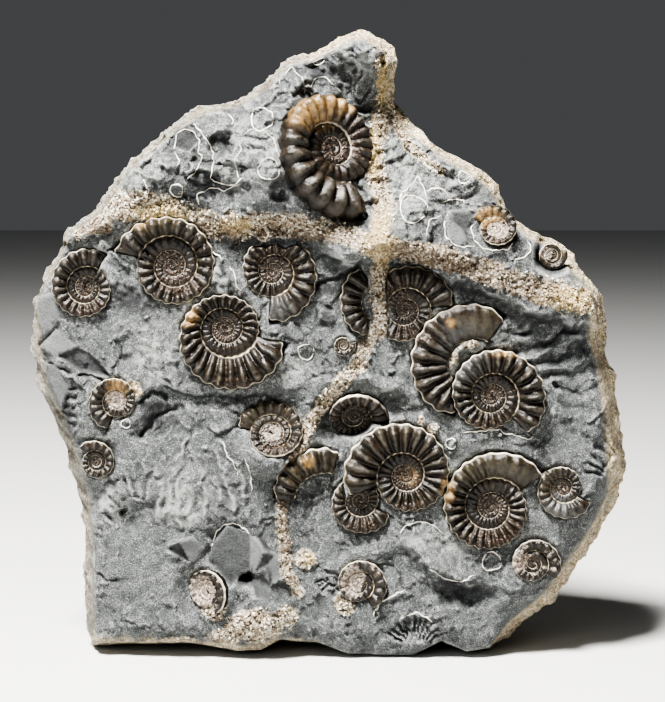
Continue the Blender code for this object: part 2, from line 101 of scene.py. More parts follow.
add_lamp("soft_lamp_above", (-0.21, -0.34, 0.84), (0.0, 0.0, 0.07), 0.20, 42.0, (1.0, 0.98, 0.95))
add_lamp("weak_lamp_in_front", (-0.55, -0.95, 0.45), (0.0, 0.0, 0.08), 0.5, 2.4, (0.94, 0.97, 1.0))
room = bpy.data.worlds.new("pale_room")
bpy.context.scene.world = room
room.use_nodes = True
room.node_tree.nodes["Background"].inputs["Color"].default_value = ROOM_LIGHT
room.node_tree.nodes["Background"].inputs["Strength"].default_value = ROOM_STRENGTH
bpy.context.scene.view_settings.look = "AgX - High Contrast"


# The block of mudstone
# One natural piece of grey mudstone, broken on all sides and standing on its cut foot. Its face is split
# along the bed that holds the shells, with two proud ledges, and cream and ochre crystal veins cross it.
FACE_OUT = 19.5
FACE_LEAN = 0.025
FACE_CROWN = 0.0006
FACE_LUMP = 12.0
FACE_ROUGH = 1.1
FACE_SEED = 3.0
BACK_CROWN = 0.0009
BACK_OUT_FOOT = 23.0
BACK_OUT_PEAK = 13.0
BACK_LUMP = 24.0
BACK_ROUGH = 2.6
BACK_SEED = 8.0
BACK_LEVEL_TO = 12.0
RIM_OUT = 3.0
RIM_GROWTH = 1.03
RIM_SINK = 3.8
FOOT_TOP = 4.5
FOOT_FRONT = 14.0
FOOT_RECEDE = 3.5
PEAK_HEIGHT = 156.0
FRONT_INSET = 2.3
FOOT_LIP_INSET = 0.3
LEAST_INSET = 0.3
BACK_INSET = 3.5
FLANK_SHARE = 0.55
FLANK_INSET = 1.2
FLANK_LUMP = 15.0
FLANK_ROUGH = 1.6
FLANK_SEED = 5.0
EDGE_ROUND = 6.0
EDGE_DROP = 3.0

# The edge of the block as it shows from the front, from the peak round by the right
EDGE = [
    (7, 155.3), (14, 151.5), (15.8, 149), (14.7, 138), (19.7, 132), (27.5, 125.7), (36, 121.5), (41, 117),
    (44.5, 110), (50.5, 105.5), (57, 102.5), (61.5, 96.5), (66.5, 91.5), (68.2, 85), (68.3, 76),
    (71, 67), (73, 54), (74.2, 47), (71.8, 38.5), (67, 28.5), (60, 18.3), (55, 12), (46, 5), (40, -0.5),
    (34, -1.5), (27.5, 1.5), (20.5, -2.4), (12, -2.2), (4, -2), (-3.5, 1), (-13, 2), (-18, -1), (-25, -1),
    (-36, 0.8), (-50, 0.9), (-60.5, 0.4),
    (-62.5, 10), (-62.4, 25), (-63, 36), (-66.5, 50), (-70.5, 60.5), (-73.5, 67), (-75, 78), (-74.6, 88),
    (-70.5, 96), (-66, 105), (-58.7, 112), (-52, 121.5), (-45, 127.5), (-39, 133), (-32, 136.6),
    (-23, 138.5), (-17, 142.5), (-11.5, 148.6), (-4.5, 150.2), (1.5, 153.4),
]
# The lower edges of the two proud ledges and of a low one near the foot, each with its step up and its reach
LEFT_LEDGE = [(-66, 103), (-54, 106.5), (-47, 105.5), (-34, 104), (-22, 102.5), (-8, 102.5), (4, 97)]
RIGHT_LEDGE = [(14, 96.5), (24, 94.5), (35, 92), (45, 86.5), (56, 83), (68, 81)]
LOW_LEDGE = [(18, 27.5), (25, 20.5), (32, 18), (37, 18.5), (44, 21)]
LEDGES = [(LEFT_LEDGE, 4.4, 34.0), (RIGHT_LEDGE, 4.4, 26.0), (LOW_LEDGE, 2.6, 9.0)]
LEDGE_FOOT_WIDTH = 1.2
# Bumps and hollows: centre x and z, half sizes, turn in degrees, and height, which is below 0 for a hollow
SWELL_TOP = 0.25
SWELL_FOOT = 1.25
SWELLS = [
    (9.5, 60.5, 14.0, 4.2, -4, -4.0),
    (10.5, 66.8, 14.0, 3.2, -4, 2.6),
    (-12.0, 116.0, 3.6, 4.0, 0, -3.2),
    (-27.5, 116.5, 4.0, 4.5, 0, -2.2),
    (-48.0, 88.0, 11.0, 5.0, 0, -2.0),
    (-25.5, 91.5, 4.6, 8.5, 20, 2.4),
    (-28.0, 64.0, 16.0, 2.6, 0, -2.0),
    (-45.0, 57.0, 9.0, 5.0, 30, -1.6),
    (-26.5, 24.5, 7.5, 8.5, 0, -2.4),
    (-37.5, 26.0, 4.5, 4.0, 0, 1.6),
    (-15.5, 22.5, 4.5, 7.0, 0, 1.8),
    (-21.5, 17.5, 2.6, 2.4, 0, -3.0),
    (-19.0, 7.0, 10.0, 6.0, 0, 1.5),
    (-6.5, 37.5, 6.0, 5.5, 0, -3.0),
    (27.0, 25.5, 13.0, 5.5, -32, 2.4),
    (33.0, 14.5, 10.0, 3.2, -8, -2.6),
    (48.0, 17.0, 5.5, 2.8, 0, 1.8),
    (20.8, 5.5, 5.0, 3.6, 0, -1.6),
    (60.0, 70.0, 9.0, 12.0, 0, -1.2),
    (-52.0, 33.0, 5.0, 4.5, 0, -1.6),
    (33.0, 110.0, 8.0, 4.0, -15, -1.2),
    (12.6, 148.0, 1.8, 3.0, 0, -2.4),
    (-2.5, 145.0, 3.5, 2.4, -25, -1.8),
    (-60.0, 28.0, 3.0, 9.0, 0, 0.8),
]
# The grey mould of a lost shell at the peak
MOULD_AT = (7.0, 149.6)
MOULD_RING = 3.4
MOULD_RING_WIDTH = 1.1
MOULD_RIB_TOP = 5.4
MOULD_REACH = 6.6
MOULD_RIBS = 11
MOULD_HEIGHT = 1.3

# Where each shell lies in the face, as its bed needs it: its middle, radius, the direction of its mouth in
# degrees, hand (1 where it grows anticlockwise as seen), the next whorl's size, and how its last turn opens.
SHELLS = {
    "ammonite_crest": dict(at=(0.5, 126.5), radius=19.5, mouth=-64, hand=1, seam=0.48, ribs=21,
                           tilt=37, lean=26, level=16.5, wrap=80, thick=0.32,
                           sharp=0.7, trough=0.25, round=0.95),
    "ammonite_left_edge": dict(at=(-61.9, 91.4), radius=10.2, mouth=56, hand=-1, seam=0.55, ribs=19),
    "ammonite_upper_left": dict(at=(-40.0, 97.0), radius=16.75, mouth=166, hand=1, seam=0.51, flare=0.45,
                                ribs=20),
    "ammonite_under_ledge": dict(at=(-14.8, 95.5), radius=13.0, mouth=-95, hand=-1, seam=0.476, ribs=20,
                                 keep=[(0, -1, -101.8)]),
    "ammonite_large_left": dict(at=(-26.5, 79.8), radius=15.5, mouth=-7, hand=1, seam=0.526, ribs=23,
                                shift=(-0.3, 1.5)),
    "ammonite_parted_right": dict(at=(18.3, 86.0), radius=12.7, mouth=5, hand=-1, seam=0.5, ribs=21,
                                  keep=[(1, 0, 14.0)]),
    "ammonite_parted_left": dict(at=(12.8, 87.2), radius=11.8, mouth=122, hand=-1, seam=0.5, ribs=22,
                                 span=0.33, keep=[(-1, 0, -9.6)]),
    "ammonite_right_behind": dict(at=(34.8, 71.8), radius=15.7, mouth=55, hand=-1, seam=0.47, flare=2.5,
                                  ribs=22, span=0.55, plain=0.2),
    "ammonite_right_front": dict(at=(40.0, 64.3), radius=13.7, mouth=-46, hand=-1, seam=0.53, flare=1.35,
                                 ribs=22),
    "ammonite_sunken": dict(at=(5.6, 58.4), radius=9.0, mouth=-15, hand=-1, seam=0.5, ribs=18,
                            tilt=28, lean=-90, level=13.5),
    "ammonite_middle_front": dict(at=(18.3, 44.3), radius=15.8, mouth=200, hand=1, seam=0.46, flare=1.2,
                                  ribs=22),
    "ammonite_middle_behind": dict(at=(6.8, 38.0), radius=9.1, mouth=-25, hand=1, seam=0.5, ribs=20),
    "ammonite_middle_crescent": dict(at=(-2.5, 36.8), radius=15.0, mouth=72, hand=-1, seam=0.55, ribs=24,
                                     span=0.28),
    "ammonite_lower_right": dict(at=(40.0, 36.0), radius=17.0, mouth=32, hand=-1, seam=0.5, flare=0.7,
                                 ribs=24, plain=0.2),
    "ammonite_small_right": dict(at=(58.2, 41.0), radius=8.5, mouth=-28, hand=1, seam=0.5, ribs=18),
    "ammonite_worn_middle": dict(at=(-14.8, 55.0), radius=9.4, mouth=170, hand=1, seam=0.6, ribs=18,
                                 tilt=32, lean=90),
    "ammonite_golden_left": dict(at=(-54.2, 63.0), radius=7.8, mouth=-107, hand=1, seam=0.5, ribs=18),
    "ammonite_small_left": dict(at=(-59.6, 47.5), radius=5.8, mouth=140, hand=1, seam=0.55, ribs=14),
    "ammonite_tiny": dict(at=(2.8, 77.2), radius=3.2, mouth=20, hand=1, seam=0.55, ribs=10),
    "ammonite_worn_right": dict(at=(40.5, 106.3), radius=6.6, mouth=150, hand=1, seam=0.55, ribs=15,
                                tilt=25, lean=90),
    "ammonite_right_shoulder": dict(at=(55.2, 99.6), radius=4.2, mouth=20, hand=1, seam=0.6, ribs=12,
                                    level=13.0, plain=1.5),
    "ammonite_broken_bottom": dict(at=(6.7, 17.0), radius=7.6, mouth=-60, hand=-1, seam=0.55, ribs=16),
    "ammonite_worn_bottom": dict(at=(-31.8, 15.0), radius=6.6, mouth=-60, hand=-1, seam=0.6, ribs=15,
                                 tilt=30, lean=180),
    "ammonite_broken_right": dict(at=(50.8, 21.8), radius=7.4, mouth=-35, hand=-1, seam=0.55, ribs=16),
}
BURIAL = 0.16
BURIAL_LEAST = 1.3
SHELL_RAISE = 0.2
BED_LEVEL_TO = 0.8
BED_REACH = 1.35
BED_HOLD = 0.6
FAR = 1000.0


def smooth_step(low, high, value):
    t = np.clip((value - low) / (high - low), 0.0, 1.0)
    return t * t * (3.0 - 2.0 * t)


def line_distance(x, z, line, reach=FAR):
    """Distance to a line of straight runs, exact up to reach, and its side: 1 above one that runs right."""
    best = np.full(np.shape(x), FAR)
    side = np.zeros(np.shape(x))
    for (ax, az), (bx, bz) in zip(line[:-1], line[1:]):
        near = (x > min(ax, bx) - reach) & (x < max(ax, bx) + reach)
        near &= (z > min(az, bz) - reach) & (z < max(az, bz) + reach)
        here = np.flatnonzero(near)
        run_x, run_z = bx - ax, bz - az
        from_x, from_z = x[here] - ax, z[here] - az
        along = np.clip((from_x * run_x + from_z * run_z) / (run_x ** 2 + run_z ** 2), 0.0, 1.0)
        gap_x, gap_z = from_x - along * run_x, from_z - along * run_z
        distance = np.hypot(gap_x, gap_z)
        closer = distance < best[here]
        side[here[closer]] = np.sign(run_x * gap_z - run_z * gap_x)[closer]
        best[here[closer]] = distance[closer]
    return best, side


def broken_ground(x, z, size, seed):
    """Lumps between about -1 and 1, the same each time."""
    places = [Vector((px / size, pz / size, seed)) for px, pz in zip(x, z)]
    return np.array([noise.noise(place) + 0.5 * noise.noise(place * 2.1) for place in places])


def swell_shape(x, z, centre_x, centre_z, half_width, half_height, turn):
    """1 at the middle of an oval bump, 0 outside it."""
    angle = math.radians(turn)
    across = (x - centre_x) * math.cos(angle) + (z - centre_z) * math.sin(angle)
    up = -(x - centre_x) * math.sin(angle) + (z - centre_z) * math.cos(angle)
    reach = np.sqrt((across / half_width) ** 2 + (up / half_height) ** 2)
    return 1.0 - smooth_step(SWELL_TOP, SWELL_FOOT, reach)


def mould_height(x, z):
    across, up = x - MOULD_AT[0], z - MOULD_AT[1]
    reach = np.hypot(across, up)
    ring = np.exp(-((reach - MOULD_RING) / MOULD_RING_WIDTH) ** 2)
    ribs = 0.5 + 0.5 * np.cos(MOULD_RIBS * np.arctan2(up, across))
    outside = smooth_step(MOULD_RING, MOULD_RING + MOULD_RING_WIDTH, reach)
    within = 1.0 - smooth_step(MOULD_RIB_TOP, MOULD_REACH, reach)
    return MOULD_HEIGHT * np.maximum(ring, ribs * outside * within)


def face_form(x, z):
    """How far out the block's face lies, before the shells press into it."""
    out = FACE_OUT - FACE_LEAN * z - FACE_CROWN * x ** 2
    out = out + FACE_ROUGH * broken_ground(x, z, FACE_LUMP, FACE_SEED)
    for line, step, fade in LEDGES:
        distance, side = line_distance(x, z, line, fade)
        rise = smooth_step(-LEDGE_FOOT_WIDTH, LEDGE_FOOT_WIDTH, distance * side)
        out = out + step * rise * (1.0 - smooth_step(fade * 0.5, fade, distance))
    for *oval, height in SWELLS:
        out = out + height * swell_shape(x, z, *oval)
    return out + mould_height(x, z)


def back_form(x, z):
    """How far the block's back lies behind the middle plane."""
    out = BACK_OUT_FOOT + (BACK_OUT_PEAK - BACK_OUT_FOOT) * z / PEAK_HEIGHT
    lumps = BACK_ROUGH * broken_ground(x, z, BACK_LUMP, BACK_SEED)
    return out + lumps * smooth_step(FOOT_LEVEL, BACK_LEVEL_TO, z) - BACK_CROWN * x ** 2


def shell_turn(shell):
    """The turn that lays a shell, made flat with +Z out of it, on the face."""
    lean = math.radians(shell.get("lean", 0.0))
    axis = Vector((-math.sin(lean), math.cos(lean), 0.0))
    tilt = Matrix.Rotation(math.radians(shell.get("tilt", 0.0)), 3, axis)
    return np.array(Matrix.Rotation(math.pi / 2, 3, "X") @ tilt)


for shell in SHELLS.values():
    middle_x, middle_z = (np.array([float(value)]) for value in shell["at"])
    if "level" not in shell:
        shell["level"] = float(face_form(middle_x, middle_z)[0]) + SHELL_RAISE
    shell["turn"] = shell_turn(shell)
    shell["burial"] = max(BURIAL_LEAST, BURIAL * shell["radius"])


def bed_in_shells(x, z, out):
    """Brings the face to each shell's own plane round that shell."""
    for shell in SHELLS.values():
        off_x, off_z = x - shell["at"][0], z - shell["at"][1]
        normal = shell["turn"] @ np.array((0.0, 0.0, 1.0))
        distance = np.hypot(off_x, off_z) / shell["radius"]
        held = np.minimum(1.0, BED_HOLD / np.maximum(distance, 0.01))
        slope = (off_x * normal[0] + off_z * normal[2]) / normal[1]
        plane = shell["level"] + slope * held
        weight = 1.0 - smooth_step(BED_LEVEL_TO, BED_REACH, distance)
        out = out + (plane - out) * weight
    return out


def whorl_radius(shell, back):
    """The outer radius at a number of turns back from the mouth."""
    flare = shell.get("flare", 1.0)
    power = np.where(back < 1.0, np.abs(back) ** flare, back)
    return shell["radius"] * shell["seam"] ** power


def plane_of_shell(shell, x, z):
    """Where points seen from the front fall in a shell's own plane, and how far out that plane is there."""
    turn = shell["turn"]
    flat = np.linalg.inv(turn[np.ix_((0, 2), (0, 1))])
    off_x, off_z = x - shell["at"][0], z - shell["at"][1]
    u = flat[0, 0] * off_x + flat[0, 1] * off_z
    v = flat[1, 0] * off_x + flat[1, 1] * off_z
    return u, v, shell["level"] - (turn[1, 0] * u + turn[1, 1] * v)


def depth_in_shell(shell, u, v):
    """How far inside a shell's outline points of its plane are: below 0 outside it."""
    reach = np.hypot(u, v)
    back = (math.radians(shell["mouth"]) - np.arctan2(v, u)) * shell["hand"] / math.tau % 1.0
    depth = whorl_radius(shell, back) - reach
    span = shell.get("span", 1.0)
    if span < 1.0:
        depth = np.minimum(depth, reach - whorl_radius(shell, back + 1.0))
        past_end = np.minimum(back - span, 1.0 - back) * math.tau * reach
        depth = np.where(back > span, np.minimum(depth, -past_end), depth)
    return depth


# Three ways to scramble a lattice: what multiplies its columns, rows and seed, and the sine of their sum
SLOPE_SCRAMBLE = (127.1, 311.7, 74.7, 43758.5453)
JITTER_X_SCRAMBLE = (269.5, 183.3, 41.3, 43758.5453)
JITTER_Z_SCRAMBLE = (113.5, 271.9, 17.9, 24634.6345)
GRAIN_GAIN = 2.2
DISH_UNEVEN = 0.25


def scrambled(column, row, seed, scramble):
    """A number from 0 to 1 for each place of a lattice, the same each time."""
    by_column, by_row, by_seed, widened = scramble
    mixed = np.sin(column * by_column + row * by_row + seed * by_seed) * widened
    return mixed - np.floor(mixed)


def grain(x, z, size, seed):
    """Smooth lumps between about -1 and 1 from a fixed lattice of slopes."""
    column, row = np.floor(x / size), np.floor(z / size)
    part_x, part_z = x / size - column, z / size - row
    total = np.zeros(np.shape(x))
    for step_x in (0, 1):
        for step_z in (0, 1):
            turn = scrambled(column + step_x, row + step_z, seed, SLOPE_SCRAMBLE) * math.tau
            away_x, away_z = part_x - step_x, part_z - step_z
            near_x, near_z = (1.0 - smooth_step(0.0, 1.0, np.abs(away)) for away in (away_x, away_z))
            total = total + near_x * near_z * (np.cos(turn) * away_x + np.sin(turn) * away_z)
    return total * GRAIN_GAIN


def layered(x, z, layers, start=0.0):
    """Grains added up, each given as its height, size and seed."""
    return sum((height * grain(x, z, size, seed) for height, size, seed in layers), start)


def scallops(x, z, size, seed):
    """Shallow dishes with sharp ridges between them, from 0 in a dish to about 1 on a ridge."""
    column, row = np.floor(x / size), np.floor(z / size)
    lowest = np.full(np.shape(x), 10.0)
    for step_x in (-1, 0, 1):
        for step_z in (-1, 0, 1):
            cell_x, cell_z = column + step_x, row + step_z
            jitter_x = scrambled(cell_x, cell_z, seed, JITTER_X_SCRAMBLE)
            jitter_z = scrambled(cell_x, cell_z, seed, JITTER_Z_SCRAMBLE)
            gap = (x / size - cell_x - jitter_x) ** 2 + (z / size - cell_z - jitter_z) ** 2
            lowest = np.minimum(lowest, gap + DISH_UNEVEN * jitter_x * jitter_z)
    return lowest


KEEP_RAGGED = [(0.7, 2.6, 31)]


def shown_of_shell(shell, x, z):
    """How far inside the bare part of a shell points are: below 0 where rock covers it."""
    margin = np.full(np.shape(x), FAR)
    ragged = layered(x, z, KEEP_RAGGED)
    for normal_x, normal_z, distance in shell.get("keep", []):
        margin = np.minimum(margin, normal_x * x + normal_z * z - distance + ragged)
    return margin


def offset_loop(loop, insets):
    """Moves each point of a clockwise loop inwards by its own amount."""
    moved = []
    for index, ((x, z), inset) in enumerate(zip(loop, insets)):
        along = (Vector(loop[(index + 1) % len(loop)]) - Vector(loop[index - 1])).normalized()
        moved.append((x + along.y * inset, z - along.x * inset))
    return moved


def inside_loop(x, z, loop):
    odd = np.zeros(np.shape(x), bool)
    for (ax, az), (bx, bz) in zip(loop, loop[1:] + loop[:1]):
        if az != bz:
            odd ^= ((az > z) != (bz > z)) & (x < ax + (z - az) * (bx - ax) / (bz - az))
    return odd


def inset_of_lip(index):
    """How far in from the edge the face starts: less on the left where a shell reaches it, to lie on rock."""
    if EDGE[index][1] < FOOT_TOP:
        return FOOT_LIP_INSET
    if EDGE[index][0] > 0.0:
        return FRONT_INSET
    before, here, after = (np.array(EDGE[place % len(EDGE)]) for place in (index - 1, index, index + 1))
    part = np.linspace(0.0, 1.0, 9)[:, None]
    x, z = np.concatenate((before + part * (here - before), here + part * (after - here))).T
    room = min(-depth_in_shell(shell, *plane_of_shell(shell, x, z)[:2]).max() for shell in SHELLS.values())
    return min(FRONT_INSET, max(LEAST_INSET, room - LEAST_INSET))


lip = offset_loop(EDGE, [inset_of_lip(index) for index in range(len(EDGE))])
rim = [(x * RIM_GROWTH, FOOT_LEVEL if z < FOOT_TOP else z * RIM_GROWTH - RIM_SINK) for x, z in EDGE]
rim_x, rim_z = np.array(rim).T
flank_lumps = broken_ground(rim_x, rim_z, FLANK_LUMP, FLANK_SEED)
flank = offset_loop(rim, np.where(rim_z == FOOT_LEVEL, 0.0, FLANK_INSET + FLANK_ROUGH * flank_lumps))
back = offset_loop(rim, np.where(rim_z == FOOT_LEVEL, 0.0, BACK_INSET))


def edge_drop(x, z):
    """How far the face has fallen back where its edge is rounded."""
    distance, _ = line_distance(x, z, lip + lip[:1], EDGE_ROUND)
    near = np.where(inside_loop(x, z, lip), np.clip(1.0 - distance / EDGE_ROUND, 0.0, 1.0), 1.0)
    return EDGE_DROP * near ** 2


def face_base(x, z):
    """The face with its shells' beds and its rounded edge, smooth as yet."""
    return bed_in_shells(x, z, face_form(x, z)) - edge_drop(x, z)


# The block starts as a slab between two flat planes, and each depth in it is a share from the face, 0, to the
# back, 1. It is rebuilt in even cells, and then each cell is moved to the broken face, flank or back.
SLAB_HALF = 18.0
VOXEL = 0.45
START_RADIUS = 0.08


def slab_depths(loop, outs):
    """The depth in the slab of each point of a loop that ends up so far out."""
    x, z = np.array(loop).T
    face, behind = face_base(x, z), back_form(x, z)
    return ((face - outs) / (face + behind) * 2.0 - 1.0) * SLAB_HALF


edge_z = np.array([z for _, z in EDGE])
rim_out = np.where(rim_z == FOOT_LEVEL, FOOT_FRONT - FOOT_RECEDE * (edge_z - FOOT_LEVEL), RIM_OUT)
flank_out = -FLANK_SHARE * back_form(rim_x, rim_z)
slab_loops = [
    (rim, slab_depths(rim, rim_out)),
    (flank, slab_depths(flank, flank_out)),
    (back, np.full(len(back), SLAB_HALF)),
]
bpy.ops.mesh.primitive_circle_add(vertices=len(lip), radius=START_RADIUS, fill_type="NGON")
block = bpy.context.object
block.name = "mudstone_block"
for corner, (x, z) in zip(block.data.vertices, lip):
    corner.co = Vector((x, -SLAB_HALF, z)) * MM
bpy.ops.object.mode_set(mode="EDIT")
corners_at = [(x, -SLAB_HALF, z) for x, z in lip]
for loop, depths in slab_loops:
    bpy.ops.mesh.extrude_region_move()
    edit = bmesh.from_edit_mesh(block.data)
    next_at = [(x, depth, z) for (x, z), depth in zip(loop, depths)]
    for corner in [v for v in edit.verts if v.select]:
        gaps = [(corner.co / MM - Vector(place)).length for place in corners_at]
        corner.co = Vector(next_at[gaps.index(min(gaps))]) * MM
    bmesh.update_edit_mesh(block.data)
    corners_at = next_at
bpy.ops.mesh.select_all(action="SELECT")
bpy.ops.mesh.fill_holes(sides=0)
bpy.ops.mesh.quads_convert_to_tris()
bpy.ops.mesh.normals_make_consistent(inside=False)
bpy.ops.object.mode_set(mode="OBJECT")
cells = block.modifiers.new("even cells", "REMESH")
cells.mode = "VOXEL"
cells.voxel_size = VOXEL * MM
bpy.ops.object.modifier_apply(modifier=cells.name)


def places_of(piece):
    """The mesh's points as an array of x, y and z in the block's measure."""
    flat = np.empty(len(piece.data.vertices) * 3, np.float32)
    piece.data.vertices.foreach_get("co", flat)
    return flat.reshape(-1, 3).astype(float) / MM


def directions_of(piece):
    flat = np.empty(len(piece.data.vertices) * 3, np.float32)
    piece.data.vertex_normals.foreach_get("vector", flat)
    return flat.reshape(-1, 3).astype(float)


def move_to(piece, places):
    piece.data.vertices.foreach_set("co", (places * MM).astype(np.float32).ravel())
    piece.data.update()


# Ragged ground, all in the face: low steps along the beds, dishes with sharp ridges, and finer lumps
BED_STEP = 0.6
BED_LAYERS = [(2.4, 19.0, 11), (0.9, 6.0, 12), (0.35, 2.0, 13)]
BED_EDGE = (0.44, 0.56)
WARP_X_LAYERS = [(0.8, 4.5, 21), (0.35, 1.6, 22)]
WARP_Z_LAYERS = [(0.8, 4.5, 23), (0.35, 1.6, 24)]


def warped(x, z):
    """Points moved a little to and fro, so that what is drawn through them has a ragged edge."""
    return x + layered(x, z, WARP_X_LAYERS), z + layered(x, z, WARP_Z_LAYERS)


def split_beds(x, z):
    """Low steps where the mudstone split along its beds."""
    rise = layered(x, z, BED_LAYERS)
    tread = np.floor(rise)
    return tread + smooth_step(*BED_EDGE, rise - tread)


FACET_EDGE = 0.22
FACET_REACH = 4.0


def in_loop_depth(x, z, loop):
    """How far inside a closed loop points are, and below 0 how far outside."""
    distance, _ = line_distance(x, z, loop + loop[:1], FACET_REACH)
    return np.where(inside_loop(x, z, loop), distance, -distance)


# Short sharp shelves all over the face, where thin beds broke off: each stands proud above its lower edge
SHELF_SEED = 12
SHELF_COUNT = 300
SHELF_REACH = 3.6
SHELF_EDGE = 0.22
SHELF_TOP = 0.3
SHELF_ENDS = 0.5
GROOVE_BELOW = 0.5
GROOVE_WIDTH = 0.45
GROOVE_SHARE = 0.35
shelf_draws = np.random.RandomState(SHELF_SEED)
# The middle across and up, turn, half length, step and bow of each
SHELVES = list(zip(
    shelf_draws.uniform(-74, 72, SHELF_COUNT),
    shelf_draws.uniform(0, 152, SHELF_COUNT),
    np.radians(shelf_draws.normal(4.0, 26.0, SHELF_COUNT)),
    shelf_draws.uniform(1.5, 6.5, SHELF_COUNT),
    shelf_draws.uniform(0.35, 1.15, SHELF_COUNT),
    shelf_draws.uniform(-0.06, 0.10, SHELF_COUNT),
))


def shelves(x, z):
    """How high the shelves stand, each with a shallow groove below its edge."""
    height = np.zeros(np.shape(x))
    for middle_x, middle_z, turn, half, step, bow in SHELVES:
        beside, above = np.abs(x - middle_x), np.abs(z - middle_z)
        near = np.flatnonzero((beside < half + 1.0) & (above < half + SHELF_REACH))
        off_x, off_z = x[near] - middle_x, z[near] - middle_z
        along = off_x * math.cos(turn) + off_z * math.sin(turn)
        over = off_z * math.cos(turn) - off_x * math.sin(turn) + bow * along ** 2
        ends = 1.0 - smooth_step(SHELF_ENDS, 1.0, np.abs(along) / half)
        shelf = smooth_step(-SHELF_EDGE, SHELF_EDGE, over) * (1.0 - smooth_step(SHELF_TOP, SHELF_REACH, over))
        groove = np.exp(-((over + GROOVE_BELOW) / GROOVE_WIDTH) ** 2)
        height[near] += step * ends * (shelf - GROOVE_SHARE * groove)
    return height


# Flat broken facets: how dark each is painted, as painted shade or painted light for the way it faces the
# lamp, and its corners, as x, z and how far they stand off the ground there
FACETS = [
    (0.9, [(-69.3, 74.3, -0.2), (-64.3, 76.5, 0.0), (-61, 75, 0.0), (-55.5, 69.3, -0.5),
           (-63.5, 70.8, -1.7)]),
    (0.4, [(-74.5, 89, -1.0), (-70.5, 90, 0.2), (-67, 87.5, 0.6), (-70, 81, 0.4), (-75, 77, -1.0)]),
    (0.1, [(-74.5, 76, -0.8), (-69.5, 81, 0.3), (-63.8, 76.5, 0.5), (-69.3, 74.3, 0.6)]),
    (0.5, [(-74.5, 73, -1.6), (-69.3, 71.5, -0.8), (-66, 67, 0.2), (-68.5, 60, -0.4), (-73, 60, -1.6)]),
    (1.0, [(-41.8, 25.8, -0.2), (-38.5, 28, 0.2), (-36, 22.3, -1.4)]),
    (0.5, [(-38.5, 28, 0.4), (-35, 29.1, 0.4), (-32.5, 26, 0.3), (-33.5, 23.5, -0.2), (-36, 22.3, -0.4)]),
    (0.9, [(-31, 22, -0.7), (-30.5, 26.3, -0.1), (-26.5, 31.5, 0.5), (-21, 29.8, 0.3), (-20.5, 27, 0.0),
           (-20.8, 20.5, -0.9), (-25.5, 16.5, -1.4), (-29, 20.5, -1.0)]),
    (0.0, [(-20.8, 29.3, 0.0), (-18.3, 28, 0.8), (-16.8, 25.5, 1.2), (-20, 19.5, -0.3), (-20.8, 23, -0.6)]),
    (1.0, [(-16.8, 25.5, 1.0), (-14.5, 25, 0.2), (-16, 22, -1.0), (-19.8, 19.7, -0.6)]),
    (0.1, [(-14.5, 25, 0.2), (-12.5, 23, 0.5), (-12.3, 19, 0.4), (-15.5, 17, -0.7), (-16, 22, -0.8)]),
    (0.6, [(-20.5, 18, -1.0), (-17.5, 19.5, -0.8), (-15.5, 17, -0.5), (-15.5, 13, 0.0), (-19, 13.5, -0.2)]),
    (0.9, [(-40.2, 127, -0.8), (-38.6, 130.3, 0.0), (-36, 132, 0.3), (-34, 130.5, 0.3), (-33, 128, -0.4),
           (-35.5, 125.5, -1.2)]),
    (0.9, [(29.3, 110.8, 0.2), (34, 110.5, 0.2), (34.8, 108, -0.4), (32.5, 106, -1.5), (30, 108, -1.4)]),
    (0.1, [(28.2, 109, -0.6), (30, 108, -0.6), (32.5, 106, -0.4), (33.5, 103, 0.3), (31, 102.4, 0.2),
           (28.6, 104, -0.3)]),
]
